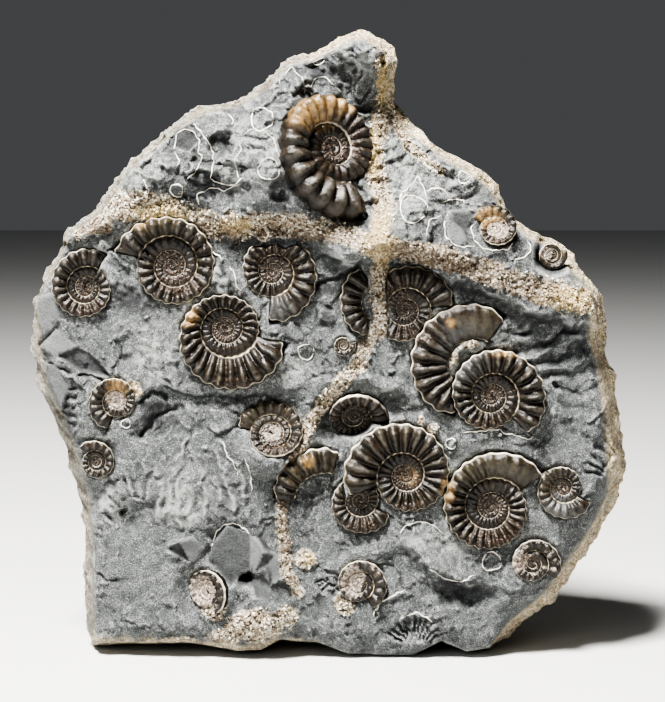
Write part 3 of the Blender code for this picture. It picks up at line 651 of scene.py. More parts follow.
# Ridges and, below 0, grooves: the line, its half width and its height
FOLDS = [
    ([(28.3, 66.5), (28.8, 71.5), (30.8, 75.3), (34.5, 77.8), (38, 77.8)], 1.5, 1.2),
    ([(-73.5, 73), (-69.8, 71.3), (-63.8, 70.3), (-56.8, 68.5)], 0.35, -1.2),
    ([(-4.5, 91.3), (0.5, 93.5), (6, 96.8)], 0.9, -1.6),
    ([(45.5, 79.5), (50.5, 81.0), (57, 85)], 0.9, -0.8),
    ([(46.5, 75.3), (54, 77.8), (60.3, 81)], 1.1, -1.1),
    ([(50, 72.3), (57.8, 74), (64.3, 77.8)], 1.1, -1.0),
    ([(53.5, 69.3), (60.3, 69.3), (66.3, 71.3)], 1.0, -0.9),
    ([(56, 65.8), (62.3, 65.3), (66.8, 66.0)], 1.0, -0.8),
    ([(57, 62.3), (62.3, 61.3), (67.0, 61)], 0.9, -0.6),
    ([(46, 77.4), (52.5, 79.4), (58.8, 83)], 1.1, 0.6),
    ([(48.5, 73.8), (56, 76), (62.3, 79.4)], 1.1, 0.6),
    ([(52, 70.8), (59, 71.7), (65.3, 74.5)], 1.0, 0.5),
    ([(-48, 63), (-45, 64.8), (-42, 63.5)], 0.6, -1.3),
    ([(-48, 54.5), (-45.5, 58.5), (-42, 61), (-37.5, 61.8)], 0.7, -1.4),
    ([(-41.3, 65.8), (-30, 64.3), (-14.8, 64)], 0.6, -0.8),
    ([(-61.8, 37.8), (-58, 36.8), (-54, 34)], 0.8, 0.8),
    ([(17, 29.5), (21.5, 32.5), (25, 31.8), (28, 29.5)], 0.5, -0.5),
    ([(10.5, 8.5), (11.3, 10.8), (14, 13.3), (18.5, 15.5)], 0.5, 0.7),
    ([(17, 19), (18, 17), (20, 16)], 0.6, -0.5),
    ([(17, 7.8), (20.8, 9.3), (23.3, 8.8), (25.5, 7)], 0.6, 0.5),
    ([(-60, 19.3), (-57.5, 17.6), (-54.8, 17.5)], 0.5, -0.7),
    ([(-52, 121), (-43, 119), (-41, 113)], 0.5, 0.6),
    ([(1, 136), (5, 136.5), (10.3, 136)], 0.9, -1.8),
    ([(20, 128), (24, 124), (30, 121)], 0.8, 0.8),
    ([(31, 117), (37, 119), (41, 117.5)], 0.8, 0.9),
    ([(31, 114), (37, 115.8), (42, 113)], 0.7, -0.9),
]
# A curtain of pale ridges that hang like drips, their paleness partly a painted highlight: the line, half
# width and height of each
DRIPS = [
    ([(-36.5, 53.5), (-39, 47), (-41, 41), (-41.3, 33.5)], 0.8, 0.8),
    ([(-42.5, 42), (-43.8, 37), (-43.5, 32.5)], 0.6, 0.6),
    ([(-38.2, 44), (-38.8, 38), (-38.5, 31.8)], 0.7, 0.7),
    ([(-35.5, 41), (-36, 36), (-35.5, 32)], 0.7, 0.7),
    ([(-32.5, 45), (-31.8, 38), (-32.3, 34)], 0.6, 0.6),
    ([(-31, 52), (-27.5, 46), (-25.3, 41), (-24.8, 36)], 0.7, 0.7),
    ([(-28.5, 53.5), (-25, 48.5), (-22.5, 44.3), (-22.3, 38)], 0.5, 0.6),
    ([(-29, 44), (-28.2, 38.5)], 0.5, 0.5),
]
# Round dents and knobs: middle, radius and height
KNOBS = [
    (-1.8, 84.3, 2.6, 1.3), (47.8, 79.8, 0.8, -1.0), (58.3, 80.3, 0.9, -1.1), (55.3, 66.0, 0.9, -1.0),
    (-52.5, 34.3, 0.9, -1.4), (-21.5, 17.5, 1.7, -2.6), (12.5, 148.5, 1.7, -2.2), (-4.0, 147.0, 1.5, -1.2),
    (-9.8, 142.0, 2.2, 1.0), (-5.5, 139.3, 2.0, -1.4), (3.5, 145.5, 2.4, -1.1), (-12.5, 138.5, 1.8, -1.4),
    (-18.5, 141.0, 2.2, -0.9), (-28.5, 133.0, 3.3, 1.1), (-36.5, 126.5, 3.2, 1.0), (-35.3, 121.0, 2.4, 0.9),
    (-17.3, 133.3, 2.6, 0.8), (-17.5, 125.5, 4.2, 0.7), (-15.5, 121.0, 2.5, 1.0), (-26.5, 119.0, 1.8, 0.9),
    (20.0, 111.3, 3.1, 0.7), (26.0, 105.5, 2.8, -1.0), (17.5, 127.5, 2.6, 0.8), (28.0, 122.5, 2.4, 0.9),
    (22.5, 119.0, 2.6, -0.7), (50.5, 95.5, 2.4, 0.9), (44.5, 101.0, 2.4, 0.8), (60.0, 92.0, 2.6, 1.0),
    (22.3, 58.3, 1.5, 0.6), (25.3, 56.3, 1.8, 0.7), (29.8, 52.5, 1.5, 0.7), (-46.5, 84.5, 0.6, 0.6),
    (-51.8, 57.3, 1.1, 0.4), (-56.5, 102.0, 2.0, 0.8), (-29.8, 95.5, 2.6, 2.2), (46.0, 18.0, 4.0, 0.8),
    (-27.5, 127.0, 3.4, -2.2), (-12.0, 116.0, 3.4, -1.4), (20.0, 120.5, 2.6, -1.2), (25.5, 112.5, 2.2, -1.0),
    (-27.5, 92.0, 2.6, 2.0), (-25.5, 88.5, 2.4, 1.6), (34.5, 20.0, 4.5, 0.9),
]
# Moulds of lost shells, as fans of ribs: the middle, inner and outer reach, from and to in degrees, ribs in a
# turn, and height
RIB_FANS = [
    (-59.0, 127.5, 5.0, 15.0, -78, -14, 26, -1.0),
    (-13.0, 153.5, 7.0, 17.5, -78, -8, 24, -1.0),
    (-80.0, 62.0, 9.0, 16.5, -30, 24, 38, -1.4),
    (-50.0, 33.5, 4.0, 11.5, 62, 165, 20, -0.9),
    (77.0, 42.0, 8.0, 15.0, 118, 175, 34, -1.2),
    (2.5, 20.0, 3.0, 8.0, 195, 300, 26, -1.2),
    (21.0, -1.0, 4.0, 10.0, 30, 150, 30, -1.3),
    (-54.5, 28.5, 3.0, 7.0, 40, 190, 16, -0.7),
    (-29.0, 66.0, 4.0, 9.0, 200, 320, 14, -0.3),
]
FAN_RISE = 1.2
FAN_FALL = 1.5
FAN_SIDE = 8.0
FAN_FLOOR = 0.35
FAN_SHARP = 1.5
FAN_SWEEP = 0.08


def fan_height(x, z, centre_x, centre_z, inner, outer, first, last, ribs):
    """The ribs of a fan, from 0 outside it to 1 on a rib."""
    across, up = x - centre_x, z - centre_z
    reach = np.hypot(across, up)
    turn = np.degrees(np.arctan2(up, across))
    turn = np.where(turn < first - 90.0, turn + 360.0, turn)
    within = smooth_step(inner, inner + FAN_RISE, reach) * (1.0 - smooth_step(outer - FAN_FALL, outer, reach))
    within = within * smooth_step(first, first + FAN_SIDE, turn)
    within = within * (1.0 - smooth_step(last - FAN_SIDE, last, turn))
    rib = (0.5 + 0.5 * np.cos(np.radians(turn) * ribs + FAN_SWEEP * reach)) ** FAN_SHARP
    return within * (FAN_FLOOR + (1.0 - FAN_FLOOR) * rib)


SPOT_CORE = 0.3
SPOT_EDGE = 1.2


def spots(x, z, ovals, core=SPOT_CORE):
    """1 in the middles of ovals (centre, half sizes), 0 outside them."""
    cover = np.zeros(np.shape(x))
    for centre_x, centre_z, half_width, half_height in ovals:
        reach = np.hypot((x - centre_x) / half_width, (z - centre_z) / half_height)
        cover = np.maximum(cover, 1.0 - smooth_step(core, SPOT_EDGE, reach))
    return cover


# The dusty upper third of the face starts between two levels, along a wavy line
UPPER_FROM = 100.0
UPPER_TO = 110.0
UPPER_WAVES = [(3.0, 9.0, 14)]
# Stretches of the face that split smooth, each an oval: middle and half sizes
CALM_GROUND = [
    (-47, 24, 20, 24), (-35, 42, 12, 10), (58, 69, 10, 12), (42, 10, 22, 9), (-62, 116, 12, 9),
    (-20, 40, 10, 8), (60, 50, 9, 12), (-58, 57, 8, 5), (10, 8, 8, 7), (27, 25.5, 13, 5), (34, 50, 20, 5),
    (52, 32, 10, 6),
]
CALM_BELOW = 0.52


def upper_at(x, z):
    """1 on the dusty upper third of the face, 0 below it."""
    return smooth_step(UPPER_FROM, UPPER_TO, z + layered(x, z, UPPER_WAVES))


def calm_at(x, z):
    """How smooth the ground is, from 0 to 1: half smooth at least, but for the upper third."""
    return np.maximum(spots(x, z, CALM_GROUND), CALM_BELOW * (1.0 - upper_at(x, z)))


# The shares of the broken beds and shelves that calm ground takes away
BEDS_CALMED = 0.8
SHELVES_CALMED = 0.95
# Broad and small dishes: depth, what calm ground takes off it, size and seed
BROAD_DISH = (1.4, 1.2, 8.5, 4)
SMALL_DISH = (0.22, 0.18, 3.4, 16)
SMALL_DISH_UPPER = 0.6
DISH_LEVEL = 0.3
# Finer lumps: height, what calm ground takes off it, size and seed
FINE_LUMPS = [(0.16, 0.12, 3.6, 1), (0.09, 0.06, 1.5, 2)]
STRIATION = (0.16, 2.0, 38)
FINEST_LAYER = (0.04, 0.95, 27)
KNOB_CORE = 0.55
KNOB_EDGE = 1.1


def face_detail(x, z):
    """The broken ground of the face, beside its base."""
    upper, calm = upper_at(x, z), calm_at(x, z)
    detail = BED_STEP * split_beds(x, z) * (1.0 - BEDS_CALMED * calm)
    detail = detail + (1.0 - SHELVES_CALMED * calm) * shelves(x, z)
    deep, calmed, size, seed = BROAD_DISH
    dishes = scallops(0.8 * x + 0.2 * z, 1.3 * z, size, seed) - DISH_LEVEL
    detail = detail + (deep - calmed * calm) * dishes
    deep, calmed, size, seed = SMALL_DISH
    dishes = scallops(x, 1.2 * z, size, seed) - DISH_LEVEL
    detail = detail + (deep + SMALL_DISH_UPPER * upper - calmed * calm) * dishes
    for high, calmed, size, seed in FINE_LUMPS:
        detail = detail + (high - calmed * calm) * grain(x, z, size, seed)
    high, size, seed = STRIATION
    striations = high * calm * grain(0.22 * (x + z), 1.2 * (z - 0.5 * x), size, seed)
    detail = layered(x, z, [FINEST_LAYER], detail + striations)
    for line, width, height in FOLDS + DRIPS:
        distance, _ = line_distance(x, z, line, 3.0 * width)
        detail = detail + height * np.exp(-(distance / width) ** 2)
    for centre_x, centre_z, radius, height in KNOBS:
        reach = np.hypot(x - centre_x, z - centre_z) / radius
        detail = detail + height * (1.0 - smooth_step(KNOB_CORE, KNOB_EDGE, reach))
    for *fan, height in RIB_FANS:
        detail = detail + height * fan_height(x, z, *fan)
    return detail


def facets_at(x, z):
    """The level of the flat facets, 1 inside them and 0 outside, and how dark each is painted, as painted
    shade.
    """
    level, within, painted_facet_shade = (np.zeros(np.shape(x)) for _ in range(3))
    for darkness, facet in FACETS:
        corners = np.array(facet)
        ground = face_form(corners[:, 0], corners[:, 1]) + corners[:, 2]
        fit = np.stack((np.ones(len(corners)), corners[:, 0], corners[:, 1]), 1)
        base, slope_x, slope_z = np.linalg.lstsq(fit, ground, rcond=None)[0]
        inside = smooth_step(-FACET_EDGE, FACET_EDGE, in_loop_depth(x, z, [tuple(c) for c in corners[:, :2]]))
        level = level * (1.0 - inside) + (base + slope_x * x + slope_z * z) * inside
        within = within + (1.0 - within) * inside
        painted_facet_shade = painted_facet_shade + (darkness - painted_facet_shade) * inside
    return level / np.maximum(within, 0.01), within, painted_facet_shade


# The crystal veins: the line, and the half width at its start and end
VEINS = [
    ([(14, 147.5), (14, 136.8), (12, 131.3), (10.3, 125.5), (11, 119.8), (13, 112), (11.5, 104.5),
      (12.3, 99.5), (12, 94.5), (11.5, 88.8), (13, 84.3), (10.8, 80), (8.5, 77.3), (6.3, 72), (2.8, 68.5),
      (-1.8, 63), (-6.5, 55.5), (-9.8, 48.3), (-12, 41.8), (-12.8, 34), (-12, 26.8), (-11.5, 20),
      (-8.3, 14.5)], 3.2, 1.5),
    ([(-64, 108), (-57, 112.5), (-50.5, 112), (-41.8, 111), (-34, 108), (-23, 106.8), (-16.5, 106.8),
      (-5.5, 106.3), (3.5, 105), (10, 102)], 4.6, 3.0),
    ([(13.3, 102), (21, 100.5), (32, 97.8), (43, 94), (51.8, 91), (59.5, 89), (66.3, 87.8)], 3.2, 4.0),
    ([(15.5, 140), (17, 131), (21, 125), (27, 120.5)], 1.8, 1.2),
]
VEIN_CORE = 0.2
VEIN_EDGE = 1.5
VEIN_BREAKS = [(0.35, 3.1, 18), (0.3, 1.1, 19)]
# Crusts of the same crystal, each an oval: middle and half sizes
CRUSTS = [
    (-19, 6.5, 9.5, 5.5), (-6.9, 23, 3.6, 3), (-30, 12, 4, 6), (50.5, 20.5, 4, 3), (3, 12, 3, 4),
    (-58, 108, 5, 4), (-50, 66, 3, 3), (36, 120.5, 3, 2.5), (28.2, 69, 1.7, 4), (29.8, 74.2, 2, 2.8),
    (33.6, 77.6, 3.4, 1.8), (22.3, 58.3, 1.3, 1.3), (25.3, 56.3, 1.7, 1.7), (-12, 8.5, 4, 3.5),
    (-27, 3.5, 5, 2.5), (-39, 2, 6, 1.2),
]
CRUST_CORE = 0.4


def vein_cover(x, z):
    """1 in the middle of a vein or crust, 0 away from them."""
    cover = np.zeros(np.shape(x))
    for line, first, last in VEINS:
        for index, run in enumerate(zip(line[:-1], line[1:])):
            half_width = first + (last - first) * index / (len(line) - 1.0)
            distance, _ = line_distance(x, z, run, 2.0 * half_width)
            cover = np.maximum(cover, 1.0 - smooth_step(VEIN_CORE, VEIN_EDGE, distance / half_width))
    return np.maximum(cover, spots(x, z, CRUSTS, CRUST_CORE))


def vein_mask(x, z):
    """Where crystal really shows: the cover, broken up."""
    return smooth_step(0.35, 0.65, vein_cover(x, z) + layered(x, z, VEIN_BREAKS))


# The gap round a shell: how far off its middle runs, its half width and its depth
GAP_OFF = 0.35
GAP_WIDTH = 0.5
GAP_DEPTH = 0.45
UNDER_SHARE = 0.8


def press_under_shells(x, z, out):
    """Keeps the rock under the shells, with a narrow dark gap round each."""
    for shell in SHELLS.values():
        near = np.flatnonzero(np.hypot(x - shell["at"][0], z - shell["at"][1]) < shell["radius"] * 1.4)
        if len(near):
            u, v, plane = plane_of_shell(shell, x[near], z[near])
            bare = shown_of_shell(shell, x[near], z[near])
            depth = np.minimum(depth_in_shell(shell, u, v), bare)
            beside = np.exp(-((depth + GAP_OFF) / GAP_WIDTH) ** 2) * smooth_step(-0.5, 0.5, bare)
            out[near] = out[near] - GAP_DEPTH * beside
            under = smooth_step(-0.3, 0.4, depth)
            out[near] = out[near] + (plane - UNDER_SHARE * shell["burial"] - out[near]) * under
    return out


FACET_LAYERS = [(0.12, 2.2, 17), FINEST_LAYER]
CRYSTAL_RISE = 0.25
CRYSTAL_PEAK = (0.5, 1.25, 20)
CRYSTAL_LAYERS = [(0.35, 0.8, 25)]


def finished_face(x, z):
    """How far out the finished face lies."""
    ragged_x, ragged_z = warped(x, z)
    out = bed_in_shells(x, z, face_form(ragged_x, ragged_z))
    out = out - edge_drop(x, z) + face_detail(ragged_x, ragged_z)
    level, within, _ = facets_at(x, z)
    out = out + (layered(x, z, FACET_LAYERS, level) - out) * within
    high, size, seed = CRYSTAL_PEAK
    crystals = CRYSTAL_RISE + high * np.abs(grain(x, z, size, seed))
    crystals = layered(x, z, CRYSTAL_LAYERS, crystals)
    return press_under_shells(x, z, out + crystals * vein_mask(x, z))


# Dishes and lumps of the flanks and the back, each as its depth, size and seed, and how far all are sunk
FLANK_DISH = (1.7, 11.0, 6)
FLANK_SMALL_DISH = (0.6, 4.0, 7)
FLANK_LAYERS = [(0.3, 1.6, 8)]
FLANK_SUNK = 0.8
BACK_DISHES = [(1.3, 14.0, 9), (0.35, 4.5, 10)]
BACK_LAYERS = [(0.15, 1.8, 26)]
BACK_BEDS = 0.5
BACK_BEDS_SHIFT = 90.0
BACK_SUNK = 0.6


def dished(x, z, dish):
    depth, size, seed = dish
    return depth * scallops(x, z, size, seed)


places = places_of(block)
facing = directions_of(block)
x, z = places[:, 0], places[:, 2]
share = (places[:, 1] / SLAB_HALF + 1.0) / 2.0
outward = facing[:, (0, 2)] / np.maximum(np.hypot(facing[:, 0], facing[:, 2]), 0.05)[:, None]
on_flank = smooth_step(0.02, 0.2, share) * (1.0 - smooth_step(0.9, 1.0, share))
off_foot = smooth_step(0.3, 4.0, z - FOOT_LEVEL)
along, across = x - z, x + 2.0 * z
chips = dished(across, places[:, 1] * 1.5 + along, FLANK_DISH)
chips = chips + dished(x + z, places[:, 1], FLANK_SMALL_DISH)
chips = layered(x + z, places[:, 1], FLANK_LAYERS, chips) - FLANK_SUNK
places[:, 0] += outward[:, 0] * chips * on_flank * off_foot
places[:, 2] += outward[:, 1] * chips * on_flank * off_foot
x, z = places[:, 0].copy(), places[:, 2].copy()
behind = back_form(x, z)
for dish in BACK_DISHES:
    behind = behind + dished(x, z, dish)
behind = behind + BACK_BEDS * BED_STEP * split_beds(x + BACK_BEDS_SHIFT, z)
behind = layered(x, z, BACK_LAYERS, behind) - BACK_SUNK
places[:, 1] = -finished_face(x, z) * (1.0 - share) + behind * share
move_to(block, places - np.array(ORIGIN))

# Cells are spared where they don't show: the face keeps most of its own, the flanks and the back few
FACE_KEPT = 0.62
BEHIND_KEPT = 0.12
BEHIND_FROM = -0.35
bpy.ops.object.select_all(action="DESELECT")
block.select_set(True)
bpy.context.view_layer.objects.active = block
for from_behind, kept in ((True, BEHIND_KEPT), (False, FACE_KEPT)):
    bpy.ops.object.mode_set(mode="EDIT")
    bpy.ops.mesh.select_mode(type="FACE")
    bpy.ops.mesh.select_all(action="DESELECT")
    edit = bmesh.from_edit_mesh(block.data)
    for cell in edit.faces:
        cell.select = (cell.normal.y > BEHIND_FROM) == from_behind
    bmesh.update_edit_mesh(block.data)
    bpy.ops.mesh.decimate(ratio=kept)
    bpy.ops.object.mode_set(mode="OBJECT")
bpy.ops.object.shade_smooth()


# What each part of the rock is coloured by is kept at its points: vein, gold, brown, drip, pale, calm, facet,
# the painted shade or light of each facet, the painted highlight on sharp edges, the painted shade in hollows,
# dark and rind. The drip and dark marks are partly painted light too.
def give(piece, name, values):
    """Keeps a value from 0 to 1 at each point of a piece, under a name that its material reads."""
    layer = piece.data.attributes.new(name, "FLOAT", "POINT")
    layer.data.foreach_set("value", np.clip(values, 0.0, 1.0).astype(np.float32))


# How strongly the material paints a highlight on sharp edges and shade in hollows
EDGE_GAIN = 7.0
EDGE_FROM = 0.22
HOLLOW_FROM = 0.12
SUNK_OWN = 0.6
SUNK_AROUND = 0.4


def edge_highlight_and_hollow_shade(piece):
    """How sharp an edge and how sunk a dip each point of a piece is, from 0 to 1, for painted highlight and
    shade.
    """
    points, outwards = places_of(piece), directions_of(piece)
    ends = np.empty(len(piece.data.edges) * 2, np.int32)
    piece.data.edges.foreach_get("vertices", ends)
    first, last = ends.reshape(-1, 2).T
    count = np.bincount(first, minlength=len(points)) + np.bincount(last, minlength=len(points))
    around = np.zeros(points.shape)
    for axis in range(3):
        around[:, axis] = (np.bincount(first, points[last, axis], len(points))
                           + np.bincount(last, points[first, axis], len(points)))
    sunk = ((around / np.maximum(count, 1)[:, None] - points) * outwards).sum(1)
    spread = np.bincount(first, sunk[last], len(points)) + np.bincount(last, sunk[first], len(points))
    sunk = SUNK_OWN * sunk + SUNK_AROUND * spread / np.maximum(count, 1)
    edge = np.clip(-sunk * EDGE_GAIN - EDGE_FROM, 0.0, 1.0)
    return edge, np.clip(sunk * EDGE_GAIN - HOLLOW_FROM, 0.0, 1.0)


# Where each tint lies, as ovals: middle and half sizes
GOLD_SPOTS = [
    (12, 104, 5, 9), (13, 143, 3, 8), (10.5, 125, 2, 10), (-43, 110, 8, 3), (60, 89, 9, 5),
    (-24, 107, 5, 2.5), (51, 88, 3, 2), (-50, 65, 3, 3), (-6, 23, 2, 2),
]
BROWN_SPOTS = [
    (32, 98, 17, 6), (-5, 104, 12, 3), (49, 90, 9, 6), (-10, 50, 4, 8), (-11, 39, 4, 8), (-12, 116, 4, 4),
    (18, 101, 8, 5), (-14.5, 10, 2.2, 2), (6, 77, 3, 4), (-30, 105, 9, 3), (-55, 106, 9, 4),
    (-11.5, 27, 3, 6),
]
PALE_SPOTS = [
    (-20, 126, 13, 11), (-47, 122, 10, 5), (17, 118, 10, 16), (30, 116, 10, 8), (7, 149.6, 7, 7),
    (-37, 39, 9, 10), (-74, 84, 6, 12), (-60, 100, 6, 8), (-56, 36, 7, 6), (-45, 75, 7, 9), (40, 30, 9, 3),
    (27, 27, 10, 4), (-10, 70, 9, 4),
]
# Partly dark rock, partly painted shadow below the ledges and in pits, dents and grooves
DARK_AND_SHADOW_SPOTS = [
    (-62, 72, 7, 3), (-20, 102.3, 13, 2.2), (-42, 103.5, 8, 1.8), (34, 91.5, 9, 2.2), (52, 84, 9, 1.8),
    (30.5, 17.5, 7, 1.8), (33, 14.8, 8, 2), (-38, 24, 2, 2), (32, 108, 3, 3), (-21.5, 17.5, 2.5, 2.5),
    (-16, 22, 4, 4), (-50, 88.5, 8, 4), (40, 85, 6, 3), (-3, 146, 6, 4), (8, 137, 5, 2), (-31, 118, 5, 5),
    (-1.8, 84.3, 3, 2.6), (-45, 62, 5, 2), (-43, 58, 6, 3), (-12, 115.5, 4.5, 4), (-27.5, 127, 3.6, 3.6),
    (-38, 130, 4, 4.5), (11.5, 147.5, 2, 2.6), (-5, 38, 5, 4), (0, 91, 5, 2), (0, 60, 8, 3),
]
# Where the ochre weathered rind of the right edge ends on the face, from the vein down
RIND_EDGE = [
    (64.0, 90.0), (64.8, 83), (65.5, 77), (67, 72.3), (68, 66.3), (69.3, 54.3), (69.8, 48), (70.3, 38),
    (67.5, 31.3), (62.8, 25.3), (58.3, 18.5), (52.3, 11.5), (46.8, 5.0),
]

places = places_of(block) + np.array(ORIGIN)
x, z = places[:, 0], places[:, 2]
front, behind = finished_face(x, z), back_form(x, z)
share = (front + places[:, 1]) / (front + behind)
on_face = 1.0 - smooth_step(0.02, 0.12, share)
give(block, "vein", vein_cover(x, z) * on_face)
give(block, "gold", spots(x, z, GOLD_SPOTS))
give(block, "brown", spots(x, z, BROWN_SPOTS))
# Along the drips the rock is painted paler: partly their pale crust, partly a painted highlight that shows
# them
on_drip = np.zeros(len(x))
for line, width, _ in DRIPS:
    distance, _ = line_distance(x, z, line, 3.0 * width)
    on_drip = np.maximum(on_drip, np.exp(-(distance / width) ** 2) * smooth_step(50.0, 36.0, z))
give(block, "drip", on_drip)
give(block, "pale", spots(x, z, PALE_SPOTS) * on_face)
give(block, "calm", calm_at(x, z) * on_face)
# The painted shade or painted light of each facet
_, in_facet, painted_facet_shade = facets_at(x, z)
give(block, "facet", 0.8 * in_facet * on_face)
give(block, "painted_facet_shade", painted_facet_shade)
# A painted highlight on sharp edges, and painted shade in hollows
edge_highlight, hollow_shade = edge_highlight_and_hollow_shade(block)
give(block, "edge", edge_highlight)
give(block, "hollow_shade", hollow_shade)
# Dark rock and painted shadow below the ledges and in pits
give(block, "dark", spots(x, z, DARK_AND_SHADOW_SPOTS) * on_face)
rind_side = smooth_step(20.0, 45.0, x + 0.25 * z) + 0.35 * smooth_step(100.0, 118.0, z)
distance, side = line_distance(x, z, RIND_EDGE)
over_edge = smooth_step(-1.2, 1.2, distance * side) * (z < 90.0)
foot_lip = (1.0 - smooth_step(0.8, 3.2, z + 1.2 * grain(x, z, 3.0, 39))) * (x < -3.0)
over_edge = np.maximum(over_edge, 0.8 * foot_lip)
give(block, "rind", np.maximum((1.0 - on_face) * np.clip(rind_side, 0.3, 1.0), over_edge))


class Sketch:
    """Adds nodes to a material, one line each. Sizes are in millimetres on the piece itself."""

    def __init__(self, name):
        self.material, self.nodes, self.links, self.shader = node_material(name)
        self.place = self.nodes.new("ShaderNodeTexCoord").outputs["Object"]

    def put(self, socket, value):
        if isinstance(value, bpy.types.NodeSocket):
            self.links.new(value, socket)
        elif isinstance(value, tuple):
            socket.default_value = (*value, 1.0) if socket.type == "RGBA" else value
        else:
            socket.default_value = value

    def lumps(self, size, detail=2.0, rough=0.5, twist=0.0):
        node = self.nodes.new("ShaderNodeTexNoise")
        node.inputs["Scale"].default_value = 1.0 / (size * MM)
        node.inputs["Detail"].default_value = detail
        node.inputs["Roughness"].default_value = rough
        node.inputs["Distortion"].default_value = twist
        self.links.new(self.place, node.inputs["Vector"])
        return node.outputs["Fac"]

    def grains(self, size, output="Color"):
        node = self.nodes.new("ShaderNodeTexVoronoi")
        node.inputs["Scale"].default_value = 1.0 / (size * MM)
        self.links.new(self.place, node.inputs["Vector"])
        if output == "Distance":
            return node.outputs["Distance"]
        parted = self.nodes.new("ShaderNodeSeparateColor")
        self.links.new(node.outputs["Color"], parted.inputs["Color"])
        return parted.outputs["Red"]

    def kept(self, name):
        node = self.nodes.new("ShaderNodeAttribute")
        node.attribute_name = name
        return node.outputs["Fac"]

    def spread(self, value, low, high, to_low=0.0, to_high=1.0):
        node = self.nodes.new("ShaderNodeMapRange")
        for name, amount in (("Value", value), ("From Min", low), ("From Max", high),
                             ("To Min", to_low), ("To Max", to_high)):
            self.put(node.inputs[name], amount)
        return node.outputs["Result"]

    def patches(self, size, detail, rough, low, high, to_low=0.0, to_high=1.0):
        """Lumps, with what lies from low to high in them spread from to_low to to_high."""
        return self.spread(self.lumps(size, detail, rough), low, high, to_low, to_high)

    def times(self, first, second):
        return self.work("MULTIPLY", first, second)

    def plus(self, first, second):
        return self.work("ADD", first, second)

    def work(self, operation, first, second):
        node = self.nodes.new("ShaderNodeMath")
        node.operation = operation
        self.put(node.inputs[0], first)
        self.put(node.inputs[1], second)
        return node.outputs["Value"]

    def mix(self, share, first, second):
        node = self.nodes.new("ShaderNodeMix")
        node.data_type = "RGBA"
        self.put(node.inputs["Factor"], share)
        self.put(node.inputs["A"], first)
        self.put(node.inputs["B"], second)
        return node.outputs["Result"]

    def colours(self, value, *stops):
        node = self.nodes.new("ShaderNodeValToRGB")
        self.links.new(value, node.inputs["Fac"])
        ramp = node.color_ramp.elements
        for index, (at, colour) in enumerate(stops):
            stop = ramp[index] if index < 2 else ramp.new(at)
            stop.position, stop.color = at, (*colour, 1.0)
        return node.outputs["Color"]

    def bump(self, height, depth, under=None, strength=1.0):
        node = self.nodes.new("ShaderNodeBump")
        node.inputs["Distance"].default_value = depth * MM
        self.put(node.inputs["Strength"], strength)
        self.links.new(height, node.inputs["Height"])
        if under:
            self.links.new(under, node.inputs["Normal"])
        return node.outputs["Normal"]

    def finish(self, colour, roughness, normal):
        self.put(self.shader.inputs["Base Color"], colour)
        self.put(self.shader.inputs["Roughness"], roughness)
        self.links.new(normal, self.shader.inputs["Normal"])
        return self.material


GREY_BLACK = (0.020, 0.021, 0.023)
GREY_DARK = (0.032, 0.035, 0.036)
GREY_MIDDLE = (0.078, 0.084, 0.084)
GREY_LIGHT = (0.138, 0.147, 0.147)
GREY_PALE = (0.40, 0.415, 0.405)
GREY_DUSTY = (0.44, 0.45, 0.43)
# A lit and a shaded grey, for painted light and painted shade on the facets
FACET_LIT_GREY = (0.21, 0.22, 0.22)
FACET_SHADED_GREY = (0.016, 0.018, 0.019)
VEIN_UMBER = (0.050, 0.034, 0.022)
VEIN_TAN = (0.20, 0.145, 0.090)
VEIN_CREAM = (0.45, 0.365, 0.25)
VEIN_WHITE = (0.78, 0.73, 0.63)
OCHRE = (0.42, 0.29, 0.11)
STRAW = (0.76, 0.60, 0.30)
RUST_BROWN = (0.105, 0.070, 0.046)
RIND_BROWN = (0.10, 0.075, 0.05)
RIND_UMBER = (0.24, 0.16, 0.08)
RIND_OCHRE = (0.50, 0.37, 0.19)
RIND_STRAW = (0.80, 0.70, 0.50)
RIND_CREAM = (0.97, 0.92, 0.82)
ROCK_GRANULE = 0.6

rock = Sketch("grey_mudstone")
speckle = rock.patches(0.3, 2.0, 0.8, 0.36, 0.64, 0.0, 0.6)
tone = rock.plus(rock.patches(5.0, 9.0, 0.75, 0.3, 0.7, 0.14, 0.48), speckle)
# The painted highlight on sharp edges lightens the grey, and the painted shade in hollows darkens it
tone = rock.plus(tone, rock.times(rock.kept("edge"), 0.42))
tone = rock.work("SUBTRACT", tone, rock.times(rock.kept("hollow_shade"), 0.5))
grey = rock.colours(tone, (0.14, GREY_DARK), (1.0, GREY_PALE), (0.50, GREY_MIDDLE), (0.72, GREY_LIGHT))
pale = rock.times(rock.kept("pale"), rock.patches(2.4, 5.0, 0.7, 0.44, 0.60, 0.0, 0.8))
# The drips are painted paler, partly a painted highlight along the ridges
pale = rock.work("MAXIMUM", pale, rock.times(rock.kept("drip"), 0.55))
grey = rock.mix(pale, grey, GREY_DUSTY)
# Darker patches: partly dark rock, partly painted shadow below the ledges and in pits
dark = rock.times(rock.kept("dark"), rock.patches(2.0, 5.0, 0.7, 0.36, 0.52, 0.2, 0.85))
grey = rock.mix(dark, grey, GREY_BLACK)
# Each facet is painted lit or shaded, as painted light and painted shade for the way it faces the lamp
facet_painted_light = rock.mix(rock.kept("painted_facet_shade"), FACET_LIT_GREY, FACET_SHADED_GREY)
facet_painted_light = rock.mix(rock.patches(0.6, 3.0, 0.7, 0.38, 0.62, 0.0, 0.35), facet_painted_light, GREY_LIGHT)
grey = rock.mix(rock.kept("facet"), grey, facet_painted_light)

